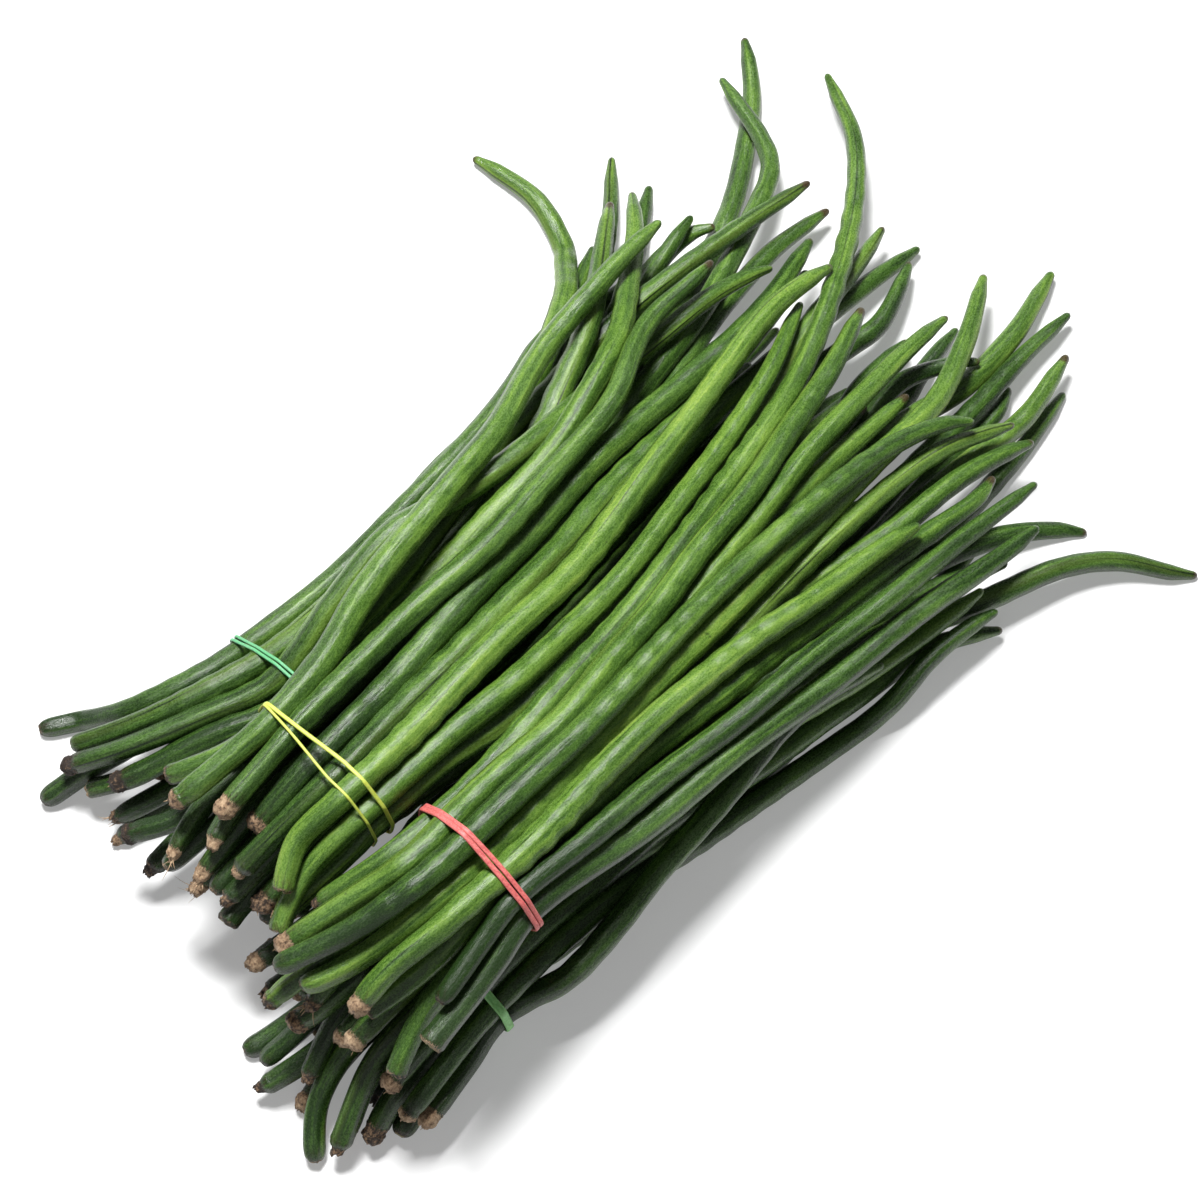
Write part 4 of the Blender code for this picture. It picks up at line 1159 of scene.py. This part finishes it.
# The pale waxy bloom's colour is that of the skin's sheen highlights: partly real bloom, partly painted
# sheen.
WAX_BLOOM_AND_SHEEN = (0.190, 0.290, 0.150, 1)
SUTURE_DARK = (0.006, 0.016, 0.004, 1)
SPECK = (0.012, 0.020, 0.008, 1)
CORK_PALE = (0.560, 0.400, 0.250, 1)
CORK_TAN = (0.260, 0.160, 0.090, 1)
CORK_DARK = (0.022, 0.013, 0.008, 1)
CUT_FLESH = (0.400, 0.420, 0.190, 1)
TIP_BROWN = (0.045, 0.026, 0.014, 1)
FLOOR_GREYS = ((0.60, 0.60, 0.60, 1), (0.64, 0.64, 0.64, 1))
SKY_COLOUR = (0.97, 0.98, 1, 1)

# How far patterns move the tint, the cork's and the brown tip's edges, and how the skin shines.
SEED_TINT = 0.05
WEATHERING = 0.32
CORK_EDGE = 5.0
BROWN_EDGE = 4.0
BUMP_STRENGTH, BUMP_HEIGHT, FINE_BUMP = 0.8, 0.22 * MM, 0.1 * MM
SKIN_SPECULAR = 0.44
RUBBER_SPECULAR, RUBBER_SUBSURFACE = 0.45, 0.15


def pod_material():
    """Waxy green skin: lighter with each pod's tint, mottled, specked, dark along its sutures, and
    brown where the stalk's cork and the dry tip are."""
    t = Tree("pod_skin")
    straight, _ = t.read("straight")
    _, ends = t.read("ends")
    _, looks = t.read("looks")
    _, marks = t.read("marks")
    broad = t.noise(t.stretched(straight, (0.03, 0.12, 0.12)), 1.0, 3)
    mottle = t.noise(t.stretched(straight, (0.35, 0.9, 0.9)), 1.0, 4, 0.65)
    grain = t.noise(t.stretched(straight, (0.9, 3.2, 3.2)), 1.0, 3, 0.6)
    stripe = t.noise(t.stretched(straight, (0.02, 0.5, 0.5)), 1.0, 2, 0.4)
    streak = t.noise(t.stretched(straight, (0.07, 1.5, 1.5)), 1.0, 3, 0.5)
    fine = t.noise(straight, 3.4, 3, 0.6)
    pores = t.noise(t.stretched(straight, (1.3, 2.0, 2.0)), 1.0, 5, 0.8)

    tint = looks[0]
    for pattern, much in ((broad, 0.7), (mottle, 0.55), (stripe, 0.9), (streak, 0.35), (pores, 1.1)):
        tint = t.varied(tint, pattern, much)
    tint = t.sum("ADD", tint, t.both(marks[2], SEED_TINT))
    colour = t.ramp(
        tint, (0.04, DARK_GREEN), (0.36, LEAF_GREEN), (0.66, FRESH_GREEN), (1.0, YELLOW_GREEN)
    )
    # Pale waxy patches: partly the skin's real bloom, partly painted sheen in the colour of its
    # highlights.
    bloom_and_sheen = t.both(t.step(broad, 0.45, 0.75), t.both(looks[1], 0.15))
    bloom_and_sheen = t.both(bloom_and_sheen, t.step(grain, 0.3, 0.7, 0.4, 1.0))
    colour = t.mix(bloom_and_sheen, colour, WAX_BLOOM_AND_SHEEN)
    pale_side = t.both(t.step(marks[0], 0.5, 2.2, 1.0, 0.0), t.both(looks[0], 0.5))
    colour = t.mix(pale_side, colour, YELLOW_GREEN)
    line = t.both(t.step(marks[0], 0.16, 0.55, 1.0, 0.0), t.step(streak, 0.30, 0.60, 0.7, 1.0))
    colour = t.mix(line, colour, SUTURE_DARK)
    groove = t.both(t.step(marks[1], 0.05, 0.5, 1.0, 0.0), 0.7)
    colour = t.mix(groove, colour, SUTURE_DARK)
    specks = t.both(t.step(fine, 0.61, 0.68), t.step(mottle, 0.42, 0.60))
    colour = t.mix(t.both(specks, 0.75), colour, SPECK)
    blotch = t.both(t.step(t.noise(straight, 0.19, 4, 0.7), 0.665, 0.72), 0.6)
    colour = t.mix(blotch, colour, SPECK)

    over = t.sum("SUBTRACT", t.varied(ends[0], grain, CORK_EDGE), ends[2])
    scuffed = t.both(t.step(over, 0.0, 7.0, 1.0, 0.0), t.step(mottle, 0.46, 0.60, 0.0, 0.7))
    colour = t.mix(scuffed, colour, CORK_DARK)
    cork = t.ramp(
        t.varied(t.noise(straight, 0.75, 4, 0.75), looks[1], WEATHERING),
        (0.43, CORK_DARK), (0.56, CORK_TAN), (0.76, CORK_PALE),
    )
    corky = t.step(over, -0.4, 0.5, 1.0, 0.0)
    colour = t.mix(corky, colour, cork)
    face = t.mix(t.step(fine, 0.35, 0.65), CUT_FLESH, CORK_TAN)
    short = t.step(ends[2], 0.9, 1.4, 1.0, 0.0)
    colour = t.mix(t.both(t.step(ends[0], -0.8, 0.3, 1.0, 0.0), short), colour, face)
    dry = t.sum("SUBTRACT", t.varied(ends[1], mottle, BROWN_EDGE), looks[2])
    dry = t.step(dry, 0.0, 2.5, 0.92, 0.0)
    colour = t.mix(dry, colour, TIP_BROWN)

    roughness = t.step(pores, 0.38, 0.62, 0.14, 0.44)
    roughness = t.sum("ADD", roughness, t.both(corky, 0.4))
    height = t.sum("ADD", t.both(stripe, 2.0), t.both(streak, 0.4))
    height = t.sum("ADD", height, t.both(mottle, 1.4))
    height = t.sum("ADD", height, t.both(pores, 0.65))
    height = t.sum("ADD", height, t.both(t.both(corky, fine), 4.0))
    t.bump(height, BUMP_STRENGTH, BUMP_HEIGHT)
    t.shader.inputs["Specular IOR Level"].default_value = SKIN_SPECULAR
    return t.finish(colour, roughness)


def rubber_material(name, pale, deep):
    t = Tree(name)
    place, _ = t.read("straight")
    grain = t.noise(t.stretched(place, (1.2, 2.5, 2.5)), 1.0, 3)
    colour = t.mix(t.step(grain, 0.3, 0.7), deep, pale)
    t.bump(t.noise(t.stretched(place, (3, 1, 1)), 1.0, 2), 0.3, FINE_BUMP)
    t.shader.inputs["Specular IOR Level"].default_value = RUBBER_SPECULAR
    t.shader.inputs["Subsurface Weight"].default_value = RUBBER_SUBSURFACE
    t.shader.inputs["Subsurface Scale"].default_value = MM
    return t.finish(colour, t.step(grain, 0.2, 0.8, 0.42, 0.6))


def fibre_material():
    t = Tree("dry_fibre")
    node = t.nodes.new("ShaderNodeTexCoord")
    grain = t.noise(node.outputs["Object"], 900, 3)
    t.bump(grain, 0.4, FINE_BUMP)
    return t.finish(t.ramp(grain, (0.3, CORK_TAN), (0.65, CORK_PALE)), 0.85)


RUBBER = {
    "mint": ((0.140, 0.440, 0.210, 1), (0.070, 0.290, 0.120, 1)),
    "yellow": ((0.520, 0.580, 0.110, 1), (0.370, 0.430, 0.050, 1)),
    "pink": ((0.640, 0.180, 0.160, 1), (0.420, 0.070, 0.070, 1)),
    "green": ((0.240, 0.530, 0.190, 1), (0.140, 0.360, 0.100, 1)),
}
SLOTS = {
    "mint": ("mint_banded_pods", "mint_rubber"),
    "yellow": ("yellow_banded_pods", "yellow_rubber"),
    "pink": ("pink_banded_pods", "pink_rubber"),
    "green": ("green_banded_pods", "pale_green_rubber"),
}


def place_piece(mesh, name, material, shift, slot, *stands_for):
    """Puts the mesh in the scene as a piece that rides on the part."""
    mesh.transform(Matrix.Translation(shift))
    mesh.materials.append(material)
    obj = bpy.data.objects.new(name, mesh)
    bpy.context.scene.collection.objects.link(obj)
    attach(obj, "root")
    if stands_for:
        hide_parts(*stands_for)


FLOOR_REACH = 4
FLOOR_GLOW = 0.26
SKY_STRENGTH = 0.12
# name: the way to it, its distance and size in metres, and its power in watts
LIGHTS = {
    "key": ((0.12, 0.29, 0.93), 1.5, 0.36, 48),
    "fill": ((-0.9, -0.6, 0.9), 1.6, 1.0, 2),
}
# The camera's sensor, and how much of the heap's plane its picture takes in, in millimetres.
SENSOR = 36
FRAME_WIDE = 400


def add_light(name, way, distance, size, power):
    data = bpy.data.lights.new(name, "AREA")
    data.size = size
    data.energy = power
    obj = bpy.data.objects.new(name, data)
    bpy.context.scene.collection.objects.link(obj)
    way = Vector(way).normalized()
    obj.location = way * distance
    obj.rotation_euler = way.to_track_quat("Z", "Y").to_euler()


def add_stage():
    """A pale floor, soft light from above and a white sky."""
    mesh = bpy.data.meshes.new("floor")
    corners = [(x * FLOOR_REACH, y * FLOOR_REACH, 0) for x, y in ((-1, -1), (1, -1), (1, 1), (-1, 1))]
    mesh.from_pydata(corners, [], [(0, 1, 2, 3)])
    t = Tree("floor_paper")
    node = t.nodes.new("ShaderNodeTexCoord")
    grain = t.noise(node.outputs["Object"], 60, 3)
    t.shader.inputs["Emission Color"].default_value = (1, 1, 1, 1)
    t.shader.inputs["Emission Strength"].default_value = FLOOR_GLOW
    mesh.materials.append(t.finish(t.mix(grain, *FLOOR_GREYS), 0.8))
    floor = bpy.data.objects.new("floor", mesh)
    bpy.context.scene.collection.objects.link(floor)
    world = bpy.data.worlds.new("sky")
    world.use_nodes = True
    world.node_tree.nodes["Background"].inputs[0].default_value = SKY_COLOUR
    world.node_tree.nodes["Background"].inputs[1].default_value = SKY_STRENGTH
    bpy.context.scene.world = world
    for name, light in LIGHTS.items():
        add_light(name, *light)


def add_camera(shift):
    data = bpy.data.cameras.new("camera")
    data.sensor_width = SENSOR
    data.lens = SENSOR * LOOK_DISTANCE / FRAME_WIDE
    data.clip_end = 20
    obj = bpy.data.objects.new("camera", data)
    bpy.context.scene.collection.objects.link(obj)
    eye = (np.array(LOOKED_AT) + BACK * LOOK_DISTANCE) * MM
    obj.location = Vector(eye) + Vector(shift)
    turn = Matrix((RIGHT, UP, BACK)).transposed()
    obj.rotation_euler = turn.to_euler()
    bpy.context.scene.camera = obj


def main():
    paths, bundles, seen, girth = lay_out()
    paths = space_apart(paths, bundles, seen, girth)
    radii = radii_along(paths, girth)
    low = (paths - radii[:, :, None]).min(axis=(0, 1))
    high = (paths + radii[:, :, None]).max(axis=(0, 1))
    middle = (low + high) / 2
    shift = (-middle[0] * MM, -middle[1] * MM, 0)
    box = [np.array(corner) / MM + (middle[0], middle[1], 0) for corner in cad_box]
    skin = pod_material()
    fibre = fibre_material()
    draw = np.random.default_rng(SEED + 1)
    for number, name in enumerate(BUNDLES):
        own = np.nonzero(bundles == number)[0]
        pods, fibres = Pieces(), Pieces()
        for place, pod in enumerate(own):
            shown = bool(seen[pod])
            if shown:
                tint, kind = TINTS[name][place], STEM_ENDS[name][place]
            else:
                # a hidden pod takes the darker tints that paint the shade inside the heap
                tint, kind = HIDDEN_TINTS_DARKENED_AS_SHADE, HIDDEN_ENDS[draw.integers(len(HIDDEN_ENDS))]
            rim, ahead, count, length = add_pod(
                pods, int(pod), paths[pod], girth[pod], shown, tint, kind, draw
            )
            for _ in range(count):
                middle_of_end = rim.mean(axis=0)
                root = rim[draw.integers(len(rim))] * FIBRE_ROOT + middle_of_end * (1 - FIBRE_ROOT) + ahead
                way = -ahead + draw.normal(0, FIBRE_SPREAD, 3)
                way /= np.linalg.norm(way)
                add_fibre(fibres, root, way, length * draw.uniform(*FIBRE_LENGTHS), draw)
        pod_slot, band_slot = SLOTS[name]
        mesh = pods.mesh("pods_" + name + "_skin", box)
        place_piece(mesh, f"pods_{name}_skin", skin, shift, pod_slot, "pods_" + name)
        place_piece(fibres.mesh("fibres_" + name, box), "fibres_" + name, fibre, shift, pod_slot)
        outlines = np.array([
            outline_at(name, paths[own], radii[own], BUNDLES[name][0] + away) for away in BAND_PLANES
        ])
        band = Pieces()
        for offset, wide, thick in STRANDS[name]:
            points, faces, where = strand(name, outlines, offset, wide, thick)
            band.add(points, faces, straight=where)
        rubber = rubber_material(name + "_rubber", *RUBBER[name])
        mesh = band.mesh("band_" + name, box)
        place_piece(mesh, f"band_{name}_strands", rubber, shift, band_slot, "band_" + name)
    add_stage()
    add_camera(shift)
    bpy.context.scene.view_settings.view_transform = "Standard"


main()
